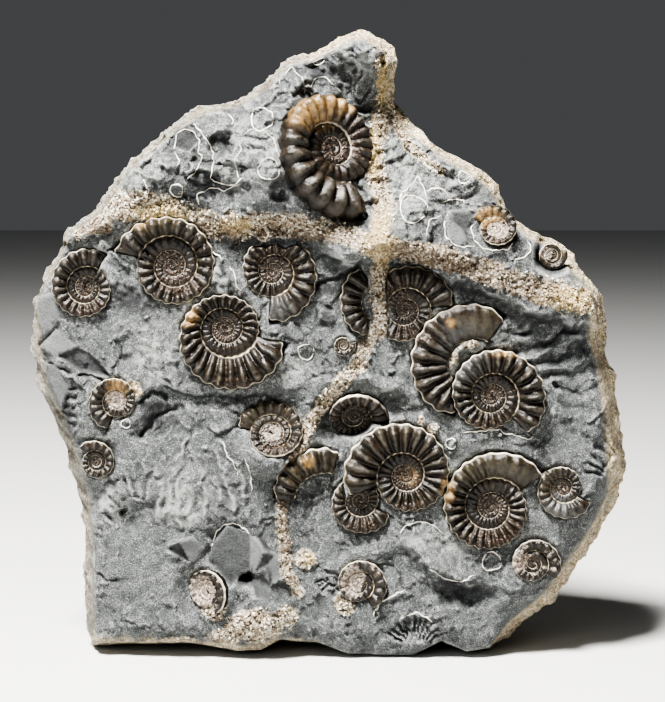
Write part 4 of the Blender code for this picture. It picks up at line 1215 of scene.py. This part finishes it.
ragged = rock.plus(rock.patches(2.6, 5.0, 0.75, 0.3, 0.7, -0.5, 0.5), rock.kept("vein"))
in_vein = rock.spread(ragged, 0.38, 0.62)
crystal = rock.colours(rock.grains(ROCK_GRANULE), (0.0, VEIN_UMBER), (0.9, VEIN_WHITE), (0.26, VEIN_TAN),
                       (0.56, VEIN_CREAM))
golden = rock.mix(rock.patches(1.2, 3.0, 0.5, 0.35, 0.65), OCHRE, STRAW)
crystal = rock.mix(rock.times(rock.kept("gold"), 0.7), crystal, golden)
stain = rock.times(rock.kept("brown"), rock.patches(1.3, 3.0, 0.5, 0.35, 0.6))
crystal = rock.mix(rock.times(stain, 0.85), crystal, RUST_BROWN)
face_colour = rock.mix(rock.times(in_vein, 0.95), grey, crystal)

weathered = rock.colours(rock.lumps(0.75, 6.0, 0.85), (0.32, RIND_BROWN), (0.64, RIND_CREAM),
                         (0.43, RIND_OCHRE), (0.52, RIND_STRAW))
weathered = rock.mix(rock.spread(rock.grains(ROCK_GRANULE), 0.4, 0.9, 0.0, 0.6), weathered, RIND_UMBER)
in_rind = rock.times(rock.kept("rind"), rock.patches(4.0, 5.0, 0.7, 0.32, 0.55, 0.3, 1.0))
colour = rock.mix(in_rind, face_colour, weathered)
fine = rock.bump(rock.lumps(0.42, 3.0, 0.8), 1.1)
creases = rock.work("ABSOLUTE", rock.work("SUBTRACT", rock.lumps(3.2, 5.0, 0.65, twist=0.4), 0.5), 0.0)
coarse = rock.bump(creases, 1.4, fine, rock.spread(rock.kept("calm"), 0.0, 1.0, 0.9, 0.05))
granular = rock.work("MAXIMUM", in_vein, in_rind)
granular = rock.bump(rock.grains(ROCK_GRANULE, "Distance"), 0.6, coarse, granular)
roughness = rock.spread(in_vein, 0.0, 1.0, 0.78, 0.42)
block.data.materials.append(rock.finish(colour, roughness, granular))
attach(block, "root")
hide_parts("matrix")


# The crystals of the veins
# Blunt grains of cream, ochre and brown calcite that fill the cracks across the face and crust it in places.
# One grain is modelled and arrayed, and each copy is turned, sized and set in the rock where a vein runs.
GRAIN_SEED = 5
GRAIN_TRIES = 120000
GRAIN_COUNT = 7000
GRAIN_LAYERS = [(0.9, 3.2, 28), (0.4, 1.3, 29)]
GRAIN_SHAPE = (0.8, 0.8, 1.25)
GRAIN_ROUGH = 0.3
GRAIN_LEAST = 0.12
GRAIN_SPREAD = 0.30
GRAIN_PROUD = 0.1
draws = np.random.RandomState(GRAIN_SEED)
x, z = draws.uniform(-70, 70, GRAIN_TRIES), draws.uniform(0, 154, GRAIN_TRIES)
cover = vein_cover(x, z)
shown = layered(x, z, GRAIN_LAYERS, cover) > draws.uniform(0.4, 1.3, GRAIN_TRIES)
shown &= inside_loop(x, z, lip) & (cover > 0.3)
for shell in SHELLS.values():
    u, v, _ = plane_of_shell(shell, x, z)
    shown &= np.minimum(depth_in_shell(shell, u, v), shown_of_shell(shell, x, z)) < -0.5
x, z = x[shown][:GRAIN_COUNT], z[shown][:GRAIN_COUNT]
out = finished_face(x, z)

bpy.ops.mesh.primitive_ico_sphere_add(subdivisions=1, radius=1.0)
grains = bpy.context.object
grains.name = "vein_crystals"
bpy.ops.object.mode_set(mode="EDIT")
bpy.ops.mesh.select_all(action="SELECT")
bpy.ops.transform.resize(value=GRAIN_SHAPE, center_override=(0.0, 0.0, 0.0))
bpy.ops.object.mode_set(mode="OBJECT")
corners = len(grains.data.vertices)
copies = grains.modifiers.new("copies", "ARRAY")
copies.count = len(x)
copies.use_relative_offset = False
bpy.ops.object.modifier_apply(modifier=copies.name)
shape = places_of(grains).reshape(len(x), corners, 3) * MM
shape = shape * (1.0 + GRAIN_ROUGH * draws.uniform(-1, 1, shape.shape))
spin = draws.normal(size=(len(x), 4))
spin /= np.linalg.norm(spin, axis=1)[:, None]
vector, scalar = spin[:, None, 1:], spin[:, None, :1]
doubled = 2.0 * np.cross(vector, shape)
shape = shape + scalar * doubled + np.cross(vector, doubled)
size = GRAIN_LEAST + GRAIN_SPREAD * draws.uniform(0, 1, len(x)) ** 3
middles = np.stack((x, -(out + GRAIN_PROUD * size), z), 1)
shape = shape * size[:, None, None] + middles[:, None, :]
move_to(grains, shape.reshape(-1, 3) - np.array(ORIGIN))
give(grains, "tone", np.repeat(draws.uniform(0, 1, len(x)), corners))
give(grains, "gold", np.repeat(spots(x, z, GOLD_SPOTS), corners))
give(grains, "brown", np.repeat(spots(x, z, BROWN_SPOTS), corners))

calcite = Sketch("vein_calcite")
tint = calcite.colours(calcite.kept("tone"), (0.0, VEIN_UMBER), (0.9, VEIN_WHITE), (0.2, VEIN_TAN),
                       (0.5, VEIN_CREAM))
golden = calcite.mix(calcite.kept("tone"), OCHRE, STRAW)
tint = calcite.mix(calcite.times(calcite.kept("gold"), 0.7), tint, golden)
tint = calcite.mix(calcite.patches(0.5, 3.0, 0.5, 0.35, 0.65, 0.0, 0.35), tint, VEIN_WHITE)
stain = calcite.times(calcite.kept("brown"), calcite.patches(2.2, 3.0, 0.5, 0.35, 0.6, 0.3, 0.95))
tint = calcite.mix(stain, tint, RUST_BROWN)
gloss = calcite.patches(0.8, 2.0, 0.5, 0.35, 0.65, 0.25, 0.55)
grains.data.materials.append(calcite.finish(tint, gloss, calcite.bump(calcite.lumps(0.3, 3.0), 0.05)))
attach(grains, "root")


# The white calcite lines
# Thin rims of white calcite where the broken face cuts through shells that are still inside the rock. Each
# is a thin uneven cord of mineral that follows the ground.
CALCITE_LINES = [
    [(-35.5, 136), (-35, 134.3), (-34, 131.8), (-31.8, 129.3), (-30.3, 126.8), (-29.3, 123.5), (-30, 118.5)],
    [(-38.5, 130), (-36, 130.8), (-34, 129.5), (-32.8, 127.8), (-33, 125.5), (-32.3, 123.8), (-33, 121.8),
     (-34.5, 119.5), (-36, 118.5)],
    [(-38.5, 130), (-39, 127.5), (-38.8, 125), (-37.8, 123), (-38.5, 121.5)],
    [(-34.3, 135), (-31.3, 136), (-27.5, 135.5), (-24.8, 133.5), (-25.5, 131.5)],
    [(-22.8, 128), (-21.5, 129.8), (-19, 130.5), (-16, 129.8), (-14, 127.8), (-13.3, 125.5), (-13, 123.5)],
    [(-23, 128), (-22.5, 125.5), (-24, 123.3), (-23.5, 121), (-23, 118.5)],
    [(-33, 112), (-33.3, 114.3), (-31.5, 115.8), (-29.3, 116.3), (-26.5, 115.8), (-25, 116.5), (-23, 117.5)],
    [(-30, 118.5), (-27, 117.2), (-24.5, 117.2), (-22, 119)],
    [(-13.3, 141.8), (-12.5, 145), (-10.8, 146.5), (-8.5, 145), (-7, 142.5), (-7, 140)],
    [(-5.5, 141), (-4.0, 143.5), (-1.5, 143.8), (0.5, 141.5)],
    [(16.5, 113), (17.3, 115), (19.5, 117), (21.5, 119), (22.5, 117), (23.3, 114)],
    [(23.3, 115.5), (25.3, 116.3), (28, 115.8), (29, 113.8)],
    [(27, 113), (29.5, 113.5), (32.3, 113.3), (33, 111.8)],
    [(23, 104.5), (23.3, 106.8), (24.8, 108.8), (27.3, 109.8)],
    [(29.3, 110.8), (28, 108.8), (27.8, 106), (29, 103.5), (31, 102), (33.5, 101.8), (35.5, 102.3)],
    [(48.8, 104), (49.5, 101.8), (48.8, 100), (46.5, 98.8), (44, 98.8)],
    [(-31.8, 98.5), (-31, 100.3), (-28.8, 99.8), (-27.5, 98.3)],
    [(-26, 97), (-24.5, 95.5), (-24, 92.5), (-22.5, 90.5)],
    [(-10.5, 53), (-8.5, 55), (-7, 56.5)],
    [(-30.8, 25.5), (-28.8, 30), (-25.5, 32), (-22.8, 31), (-20.5, 29.5)],
    [(-27.5, 53.3), (-26.5, 50), (-25, 47.8), (-23.5, 44.3)],
    [(-21.8, 49.5), (-20.5, 44.8), (-20.3, 40.3)],
    [(10.5, 8.5), (11.3, 10.8), (14, 13.3), (18.5, 15.5)],
    [(17, 29.5), (18.5, 31.5), (21.5, 32.5), (25, 31.8), (28, 29.5)],
    [(17, 7.8), (20.8, 9.3), (23.3, 8.8), (25.5, 7)],
    [(24.5, 21.3), (28.5, 18.5), (32.3, 18), (36, 19.5)],
    [(33, 55.0), (37, 55.4), (41, 55.8), (44.5, 54.7), (48, 53.7), (51, 53.9)],
    [(36.5, 108.5), (34.5, 106.0), (36.0, 102.6), (39.0, 101.2), (43.0, 101.3), (45.5, 103.5)],
    [(-50, 121.5), (-48, 120), (-45.5, 116.5), (-46, 114.5), (-48.5, 113.5), (-51, 114.3), (-53.5, 116)],
]
# Whole rings of the same, round shells that are cut straight across: middle and radius
CALCITE_RINGS = [
    (-17.3, 133.3, 2.8), (-15.5, 121.0, 2.6), (20.0, 111.3, 3.3), (-6.5, 75.5, 2.0), (29.8, 52.5, 1.3),
    (-51.8, 57.3, 1.1), (-38.5, 115.8, 1.6), (21.0, 126.5, 1.4), (40.3, 22.3, 2.4), (-3.5, 148.5, 1.5),
    (33.0, 119.0, 1.6),
]
LINE_RADIUS = 0.145
LINE_STEP = 0.4
LINE_SIDES = 5
LINE_PROUD = 0.4
LINE_UNEVEN = [(0.7, 2.3, 35)]
LINE_END_STEPS = 3.0
# How a line wanders: how far, the size of its bends, and their seeds across and up
LINE_WANDER = (0.28, 1.6, 33, 34)
LINE_WIGGLE = (0.10, 0.7, 36, 37)
RING_POINTS = 13
RING_UNEVEN = 0.08
RING_RAGGED = 0.35
CHALK_WHITE = (0.80, 0.78, 0.72)
CHALK_TAN = (0.62, 0.55, 0.44)

lines = list(CALCITE_LINES)
for centre_x, centre_z, radius in CALCITE_RINGS:
    turns = np.linspace(0.0, math.tau, RING_POINTS)
    uneven = radius * (1.0 + RING_UNEVEN * np.sin(3.0 * turns + centre_x))
    lines.append(list(zip(centre_x + uneven * np.cos(turns), centre_z + uneven * np.sin(turns))))


def smooth_run(line, step):
    """Even points along a smooth curve through the given ones."""
    points = np.array([line[0], *line, line[-1]], float)
    run = []
    for before, first, last, after in zip(points[:-3], points[1:-2], points[2:-1], points[3:]):
        count = max(2, round(np.linalg.norm(last - first) / step))
        for t in np.arange(count) / count:
            run.append(0.5 * (2.0 * first + (last - before) * t
                              + (2.0 * before - 5.0 * first + 4.0 * last - after) * t ** 2
                              + (3.0 * first - before - 3.0 * last + after) * t ** 3))
    return np.array(run + [points[-1]])


def add_cord(run, out, thin):
    """A closed uneven cord along a run of points, made from a flat grid that is rolled up."""
    bpy.ops.object.select_all(action="DESELECT")
    bpy.ops.mesh.primitive_grid_add(x_subdivisions=len(run) - 1, y_subdivisions=LINE_SIDES, size=1.0)
    cord = bpy.context.object
    flat = places_of(cord) * MM
    station = np.round((flat[:, 0] + 0.5) * (len(run) - 1)).astype(int)
    turn = np.round((flat[:, 1] + 0.5) * LINE_SIDES) / LINE_SIDES * math.tau
    ahead = np.gradient(run, axis=0)
    ahead /= np.maximum(np.linalg.norm(ahead, axis=1), 1e-6)[:, None]
    wide = thin[station]
    sideways, outwards = wide * np.cos(turn), wide * np.sin(turn)
    at_x = run[station, 0] - ahead[station, 1] * sideways
    at_z = run[station, 1] + ahead[station, 0] * sideways
    move_to(cord, np.stack((at_x, -(out[station] + outwards), at_z), 1) - np.array(ORIGIN))
    bpy.ops.object.mode_set(mode="EDIT")
    bpy.ops.mesh.select_all(action="SELECT")
    bpy.ops.mesh.remove_doubles(threshold=1e-7)
    bpy.ops.mesh.normals_make_consistent(inside=False)
    bpy.ops.object.mode_set(mode="OBJECT")
    bpy.ops.object.shade_smooth()
    return cord


cords = []
for index, line in enumerate(lines):
    run = smooth_run(line, LINE_STEP)
    ragged = 1.0 if index < len(CALCITE_LINES) else RING_RAGGED
    run = run[inside_loop(run[:, 0], run[:, 1], lip)]
    for (far, size, seed_x, seed_z), share in ((LINE_WANDER, ragged), (LINE_WIGGLE, 1.0)):
        x, z = run.T
        run = run + far * share * np.stack((grain(x, z, size, seed_x), grain(x, z, size, seed_z)), 1)
    x, z = run.T
    out = finished_face(x, z) + LINE_PROUD * LINE_RADIUS
    from_end = np.minimum(np.arange(len(run)), np.arange(len(run))[::-1])
    thin = LINE_RADIUS * layered(x, z, LINE_UNEVEN, 1.0) * np.minimum(1.0, from_end / LINE_END_STEPS)
    cords.append(add_cord(run, out, thin))
for cord in cords:
    cord.select_set(True)
bpy.context.view_layer.objects.active = cords[0]
bpy.ops.object.join()
cords = bpy.context.object
cords.name = "calcite_lines"
chalk = Sketch("white_calcite_line")
tint = chalk.mix(chalk.patches(1.5, 3.0, 0.5, 0.35, 0.65), CHALK_WHITE, CHALK_TAN)
gloss = chalk.patches(0.8, 2.0, 0.5, 0.3, 0.7, 0.4, 0.7)
cords.data.materials.append(chalk.finish(tint, gloss, chalk.bump(chalk.lumps(0.4, 3.0), 0.06)))
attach(cords, "root")


# The ammonites
# Small ribbed spiral shells of dark brown mineral, each bonded flat in the rock. Each is made as one sheet
# that follows the whorls in to the middle, with its edge carried down into the bed and closed there.
OVERLAPS = [
    ("ammonite_right_front", "ammonite_right_behind"),
    ("ammonite_middle_front", "ammonite_middle_behind"),
    ("ammonite_middle_front", "ammonite_middle_crescent"),
    ("ammonite_middle_behind", "ammonite_middle_crescent"),
    ("ammonite_middle_front", "ammonite_sunken"),
    ("ammonite_lower_right", "ammonite_small_right"),
    ("ammonite_large_left", "ammonite_upper_left"),
    ("ammonite_large_left", "ammonite_under_ledge"),
    ("ammonite_lower_right", "ammonite_middle_front"),
    ("ammonite_right_behind", "ammonite_parted_right"),
    ("ammonite_lower_right", "ammonite_broken_right"),
    ("ammonite_worn_right", "ammonite_right_shoulder"),
    ("ammonite_left_edge", "ammonite_upper_left"),
]
SHELL_THICKNESS = 0.29
RIM_HEIGHT = 0.12
TROUGH_DEPTH = 0.36
SCALLOP = 0.010
SEAM_WIDTH = 0.014
SEAM_HEIGHT = 0.012
MOUTH_TAPER = 0.09
MOUTH_PULL = 0.28
LIP_DEPTH = 0.15
INNER_SINK = 0.055
BIG_RADIUS = 12.0
# How finely a big and a small shell are made: whorls, steps to a rib, and rows across a whorl
BIG_MAKE = (4, 12, 20)
SMALL_MAKE = (3, 8, 14)
RIBS_ODD = 0.37
RIB_SHARP = 0.85
RIB_SLANT = 0.25
RIB_WORN = 0.45
RIB_INSIDE = 0.6
RIB_PLAIN = 0.2
RIB_UNEVEN = (0.3, 0.5, 43)
RIB_OUT = 0.22
WHORL_ROUND = 0.75
WHORL_INWARD = 1.2
WEAR_LUMPS = (1.7, 41)
WEAR_SHARE = 0.05
WEAR_PITS = 0.3
SEAM_IN_MIDDLE = 0.7
# How worn down and crystalline each shell is, from 0 to 1. The others are whole and glossy.
WORN = {
    "ammonite_broken_bottom": 0.5, "ammonite_worn_bottom": 0.6, "ammonite_broken_right": 0.6,
    "ammonite_worn_middle": 0.3, "ammonite_worn_right": 0.4, "ammonite_right_shoulder": 0.5,
    "ammonite_golden_left": 0.3, "ammonite_small_right": 0.15, "ammonite_sunken": 0.2,
    "ammonite_parted_right": 0.15,
}
# Where shells are worn to pale crystal
SHELL_WORN_SPOTS = [(5.2, 17.8, 4, 5.5), (-32.8, 14, 4.5, 7), (46, 22.5, 4.5, 4.5), (-14.8, 55, 3, 2.4),
                    (41, 106, 4, 2.5), (53.5, 100, 3, 2), (-54.5, 63.5, 3.2, 3.0)]
# Where they are rough with brown grains
SHELL_BROWN_SPOTS = [(19, 79, 8, 4), (20, 35.5, 9, 3.5), (38, 28.5, 9, 3), (38, 56.5, 9, 3.5), (7, 31, 8, 4),
                     (5.8, 128, 2.8, 9), (-24, 67, 9, 3.5), (-15, 51, 6, 3), (41, 103, 6, 3), (-38, 93, 8, 5),
                     (-14, 98, 8, 5), (16, 90, 5, 6), (12, 22, 4, 5), (-60, 86, 6, 3)]
SHELL_GOLD_SPOTS = [(-5, 135, 7, 5), (1, 137, 7, 3), (-35.8, 84.5, 3, 3), (-48.7, 108, 3, 2), (44, 76, 5, 2),
                    (43.5, 93, 3, 1.5), (29.5, 82.8, 1.5, 1.5), (-54, 66, 3, 3), (-6, 48, 2, 2),
                    (19, 44, 3, 3), (29, 41, 2, 4), (38, 109, 5, 3)]
SHELL_OLIVE_SPOTS = [(40, 46, 14, 5), (54, 44, 5, 5), (-9, 47, 9, 6), (38, 83, 9, 5), (2, 45, 5, 6),
                     (20, 58, 8, 3), (-17, 61, 8, 4), (56, 100, 5, 4), (8, 75, 3, 3), (-43, 108, 8, 4)]
SHELL_GREY_SPOTS = [(32, 75, 7, 9), (12, 24, 5, 6), (-14, 86, 6, 4), (13, 83, 3, 8), (57, 36, 5, 5)]

BRONZE_BLACK = (0.003, 0.0025, 0.002)
BRONZE_DARK = (0.012, 0.008, 0.005)
BRONZE_BROWN = (0.030, 0.019, 0.011)
RIB_CREST_WORN_AND_LIT = (0.088, 0.079, 0.062)
SHELL_OLIVE = (0.050, 0.041, 0.025)
SHELL_GOLD = (0.33, 0.205, 0.085)
SHELL_GREY = (0.09, 0.09, 0.088)
SEAM_CREAM = (0.88, 0.79, 0.63)
GRANULE_BLACK = (0.006, 0.004, 0.003)
GRANULE_DARK = (0.020, 0.012, 0.008)
GRANULE_BROWN = (0.060, 0.040, 0.028)
GRANULE_TAN = (0.20, 0.155, 0.115)
WORN_DARK = (0.05, 0.036, 0.028)
WORN_BROWN = (0.13, 0.10, 0.08)
WORN_GREY = (0.30, 0.25, 0.21)
WORN_PALE = (0.60, 0.55, 0.50)
SHELL_SPECULAR = 0.4

bronze = Sketch("bronze_black_shell")
ground = bronze.mix(bronze.patches(1.6, 4.0, 0.6, 0.35, 0.65), BRONZE_BLACK, BRONZE_DARK)
swirl = bronze.spread(bronze.lumps(3.6, 3.0, 0.6, twist=0.6), 0.48, 0.70, 0.0, 0.8)
ground = bronze.mix(swirl, ground, BRONZE_BROWN)
# Rib crests are painted paler, partly worn and partly a painted highlight, and the troughs keep the near-black
# as painted shade
crest = bronze.times(bronze.kept("rib"), bronze.patches(1.1, 4.0, 0.5, 0.36, 0.62, 0.05, 0.7))
ground = bronze.mix(crest, ground, RIB_CREST_WORN_AND_LIT)
for spot, tint, most in (("olive", SHELL_OLIVE, 0.75), ("gold", SHELL_GOLD, 0.8), ("grey", SHELL_GREY, 0.8)):
    patch = bronze.patches(1.3, 4.0, 0.65, 0.36, 0.58, 0.15, most)
    ground = bronze.mix(bronze.times(bronze.kept(spot), patch), ground, tint)
granules = bronze.colours(bronze.grains(0.4), (0.0, GRANULE_BLACK), (1.0, GRANULE_TAN), (0.5, GRANULE_DARK),
                          (0.88, GRANULE_BROWN))
in_middle = bronze.work("MAXIMUM", bronze.kept("middle"), bronze.times(bronze.kept("granular"), 0.8))
in_middle = bronze.plus(in_middle, bronze.patches(1.0, 3.0, 0.5, 0.3, 0.7, -0.3, 0.3))
in_middle = bronze.spread(in_middle, 0.4, 0.7, 0.0, 0.85)
ground = bronze.mix(in_middle, ground, granules)
crystals = bronze.colours(bronze.lumps(0.5, 3.0, 0.7), (0.32, WORN_DARK), (0.70, WORN_PALE),
                          (0.42, WORN_BROWN), (0.54, WORN_GREY))
in_worn = bronze.plus(bronze.kept("worn"), bronze.patches(2.0, 4.0, 0.5, 0.3, 0.7, -0.35, 0.35))
in_worn = bronze.spread(in_worn, 0.45, 0.65, 0.0, 0.9)
ground = bronze.mix(in_worn, ground, crystals)
chalk = bronze.times(bronze.kept("seam"), bronze.patches(1.6, 4.0, 0.5, 0.36, 0.52, 0.35, 1.0))
colour = bronze.mix(chalk, ground, SEAM_CREAM)
polish = bronze.patches(1.0, 4.0, 0.6, 0.3, 0.7, 0.20, 0.44)
polish = bronze.plus(polish, bronze.times(bronze.work("MAXIMUM", chalk, in_worn), 0.3))
bronze.shader.inputs["Specular IOR Level"].default_value = SHELL_SPECULAR
skin = bronze.bump(bronze.lumps(0.9, 5.0, 0.7), 0.20)
skin = bronze.bump(bronze.grains(0.42, "Distance"), 0.22, skin, bronze.work("MAXIMUM", in_middle, in_worn))
shell_material = bronze.finish(colour, polish, skin)


def add_shell(name, shell):
    """One shell as a ribbed sheet along its whorls, closed below and laid in the face."""
    whole = shell.get("span", 1.0) >= 1.0
    whorls, steps, rows = BIG_MAKE if shell["radius"] > BIG_RADIUS else SMALL_MAKE
    turns = whorls if whole else shell["span"]
    around = shell["ribs"] * steps
    worn = WORN.get(name, 0.0)
    columns = round(around * turns)
    bpy.ops.object.select_all(action="DESELECT")
    bpy.ops.mesh.primitive_grid_add(x_subdivisions=columns, y_subdivisions=rows, size=1.0)
    piece = bpy.context.object
    piece.name = name.replace("ammonite", "shell")
    across = places_of(piece) * MM
    turn_back = np.round((across[:, 0] + 0.5) * columns) / around
    row = np.round((across[:, 1] + 0.5) * rows) / rows

    ribs_around = math.tau * (shell["ribs"] + RIBS_ODD)
    wrap = math.radians(shell.get("wrap", 0.0))
    outer, inner = whorl_radius(shell, turn_back), whorl_radius(shell, turn_back + 1.0)
    thickness = shell.get("thick", SHELL_THICKNESS) * outer
    arch = (math.pi + wrap) * row - wrap
    rise = np.sign(np.sin(arch)) * np.abs(np.sin(arch)) ** shell.get("round", WHORL_ROUND)
    inward = ((1.0 - np.cos(arch)) / 2.0) ** WHORL_INWARD
    if whole:
        inner = inner * (1.0 - smooth_step(turns - 1.0, turns - 0.75, turn_back))
    rib = 0.5 + 0.5 * np.cos(ribs_around * turn_back + math.tau * RIB_SLANT * inward)
    rib = rib ** shell.get("sharp", RIB_SHARP)
    rib = rib * (1.0 - RIB_WORN * worn) * (1.0 - RIB_INSIDE * smooth_step(0.95, 1.1, turn_back))
    plain = shell.get("plain", 0.0)
    rib = rib * (RIB_PLAIN + (1.0 - RIB_PLAIN) * smooth_step(0.7 * plain, 1.2 * plain + 0.001, turn_back))
    rib = rib * layered(9.0 * turn_back + shell["radius"], 2.5 * inward, [RIB_UNEVEN], 1.0)
    strength = 1.0 - smooth_step(0.84, 0.99, row)
    strength = strength * np.where(turn_back < 1.0, smooth_step(0.0, 0.06, row), smooth_step(0.0, 0.15, row))
    lift = shell.get("trough", TROUGH_DEPTH) * thickness * rib * strength
    outer_edge = outer * (1.0 + SCALLOP * np.cos(ribs_around * turn_back))
    inner_edge = inner * (1.0 + SCALLOP * np.cos(ribs_around * (turn_back + 1.0)))
    taper = np.clip(turn_back / MOUTH_TAPER, 0.0, 1.0)
    if not whole:
        taper = np.minimum(taper, np.clip((turns - turn_back) / MOUTH_TAPER, 0.0, 1.0))
    taper = np.sqrt(1.0 - (1.0 - taper) ** 2)
    width = (outer_edge - inner_edge) * (1.0 - MOUTH_PULL + MOUTH_PULL * taper)
    radius = inner_edge + width * (1.0 - inward) + RIB_OUT * lift * np.cos(arch)
    dome = (1.0 - RIM_HEIGHT) * thickness * (1.0 - TROUGH_DEPTH) * rise
    level = RIM_HEIGHT * SHELL_THICKNESS * (outer * (1.0 - row) + inner * row)
    from_rim = inward if wrap == 0.0 else row
    innermost = (turn_back > turns - 1.0) & whole
    edge_gap = np.minimum(np.where(innermost, 1.0, 1.0 - inward), from_rim) * (outer - inner)
    middle = 1.0 - smooth_step(0.15, 0.27, (outer + inner) / 2.0 / shell["radius"])
    seam = np.exp(-(edge_gap / (SEAM_WIDTH * np.maximum(outer, 4.0))) ** 2) * (1.0 - SEAM_IN_MIDDLE * middle)
    inside = smooth_step(0.6, 1.3, turn_back + inward)
    level = level - INNER_SINK * shell["radius"] * inside
    height = level + (dome + lift * np.sin(arch)) * taper + SEAM_HEIGHT * outer * seam
    round_to = turn_back * math.tau
    wear = grain(outer * np.cos(round_to), outer * np.sin(round_to) + 7.0 * inward, *WEAR_LUMPS)
    height = height + (WEAR_SHARE * thickness * wear + worn * WEAR_PITS * np.abs(wear)) * np.sin(arch)
    if whole:
        at_middle = (turn_back > turns - 0.75) & (row > 1.0 - 1e-6)
        radius[at_middle] = 0.0
        height[at_middle] = -INNER_SINK * shell["radius"]
    angle = math.radians(shell["mouth"]) - shell["hand"] * turn_back * math.tau
    shift_x, shift_z = shell.get("shift", (0.0, 0.0))
    across, up = radius * np.cos(angle) + shift_x * inside, radius * np.sin(angle) + shift_z * inside
    flat = np.stack((across, up, height), 1)
    move_to(piece, flat)
    # The rib mark, strong on the crests and nil in the troughs: worn paler crests with a painted highlight,
    # painted shade between
    give(piece, "rib", rib ** 2.0 * strength * np.abs(rise))
    give(piece, "seam", seam)
    give(piece, "middle", middle)

    bpy.ops.object.mode_set(mode="EDIT")
    bpy.ops.mesh.select_all(action="SELECT")
    bpy.ops.mesh.remove_doubles(threshold=1e-7)
    bpy.ops.mesh.select_all(action="DESELECT")
    edit = bmesh.from_edit_mesh(piece.data)
    least = 0.5 * shell["radius"] * shell["seam"] if whole else 0.0
    for side in edit.edges:
        side.select = side.is_boundary and all(v.co.xy.length > least * MM for v in side.verts)
    bmesh.update_edit_mesh(piece.data)
    # The edge goes down in two rings: one just below it, and one down in the bed
    for highest in (math.inf, -shell["burial"]):
        bpy.ops.mesh.extrude_edges_move()
        edit = bmesh.from_edit_mesh(piece.data)
        chalked = edit.verts.layers.float["seam"]
        for corner in [v for v in edit.verts if v.select]:
            corner.co.z = min(corner.co.z - LIP_DEPTH * MM, highest * MM)
            corner[chalked] = 0.0
        bmesh.update_edit_mesh(piece.data)
    bpy.ops.mesh.edge_face_add()
    bpy.ops.mesh.select_all(action="SELECT")
    bpy.ops.mesh.fill_holes(sides=0)
    bpy.ops.mesh.normals_make_consistent(inside=False)
    bpy.ops.object.mode_set(mode="OBJECT")
    bpy.ops.object.shade_smooth()

    flat = places_of(piece)
    turned = flat @ shell["turn"].T + np.array((shell["at"][0], -shell["level"], shell["at"][1]))
    hidden = -shown_of_shell(shell, turned[:, 0], turned[:, 2])
    for upper, lower in OVERLAPS:
        if lower == name:
            u, v, _ = plane_of_shell(SHELLS[upper], turned[:, 0], turned[:, 2])
            hidden = np.maximum(hidden, depth_in_shell(SHELLS[upper], u, v) + 0.3)
    sunk = -0.9 * shell["burial"]
    press = smooth_step(-0.2, 0.3, hidden)
    flat[:, 2] = np.where(flat[:, 2] > sunk, flat[:, 2] + (sunk - flat[:, 2]) * press, flat[:, 2])
    turned = flat @ shell["turn"].T + np.array((shell["at"][0], -shell["level"], shell["at"][1]))
    move_to(piece, turned - np.array(ORIGIN))
    x, z = turned[:, 0], turned[:, 2]
    give(piece, "gold", spots(x, z, SHELL_GOLD_SPOTS))
    give(piece, "olive", spots(x, z, SHELL_OLIVE_SPOTS))
    give(piece, "grey", spots(x, z, SHELL_GREY_SPOTS))
    give(piece, "worn", np.maximum(0.5 * worn, spots(x, z, SHELL_WORN_SPOTS)))
    give(piece, "granular", spots(x, z, SHELL_BROWN_SPOTS))
    piece.data.materials.append(shell_material)
    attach(piece, "root")
    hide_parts(name)
    return piece


for name, shell in SHELLS.items():
    add_shell(name, shell)
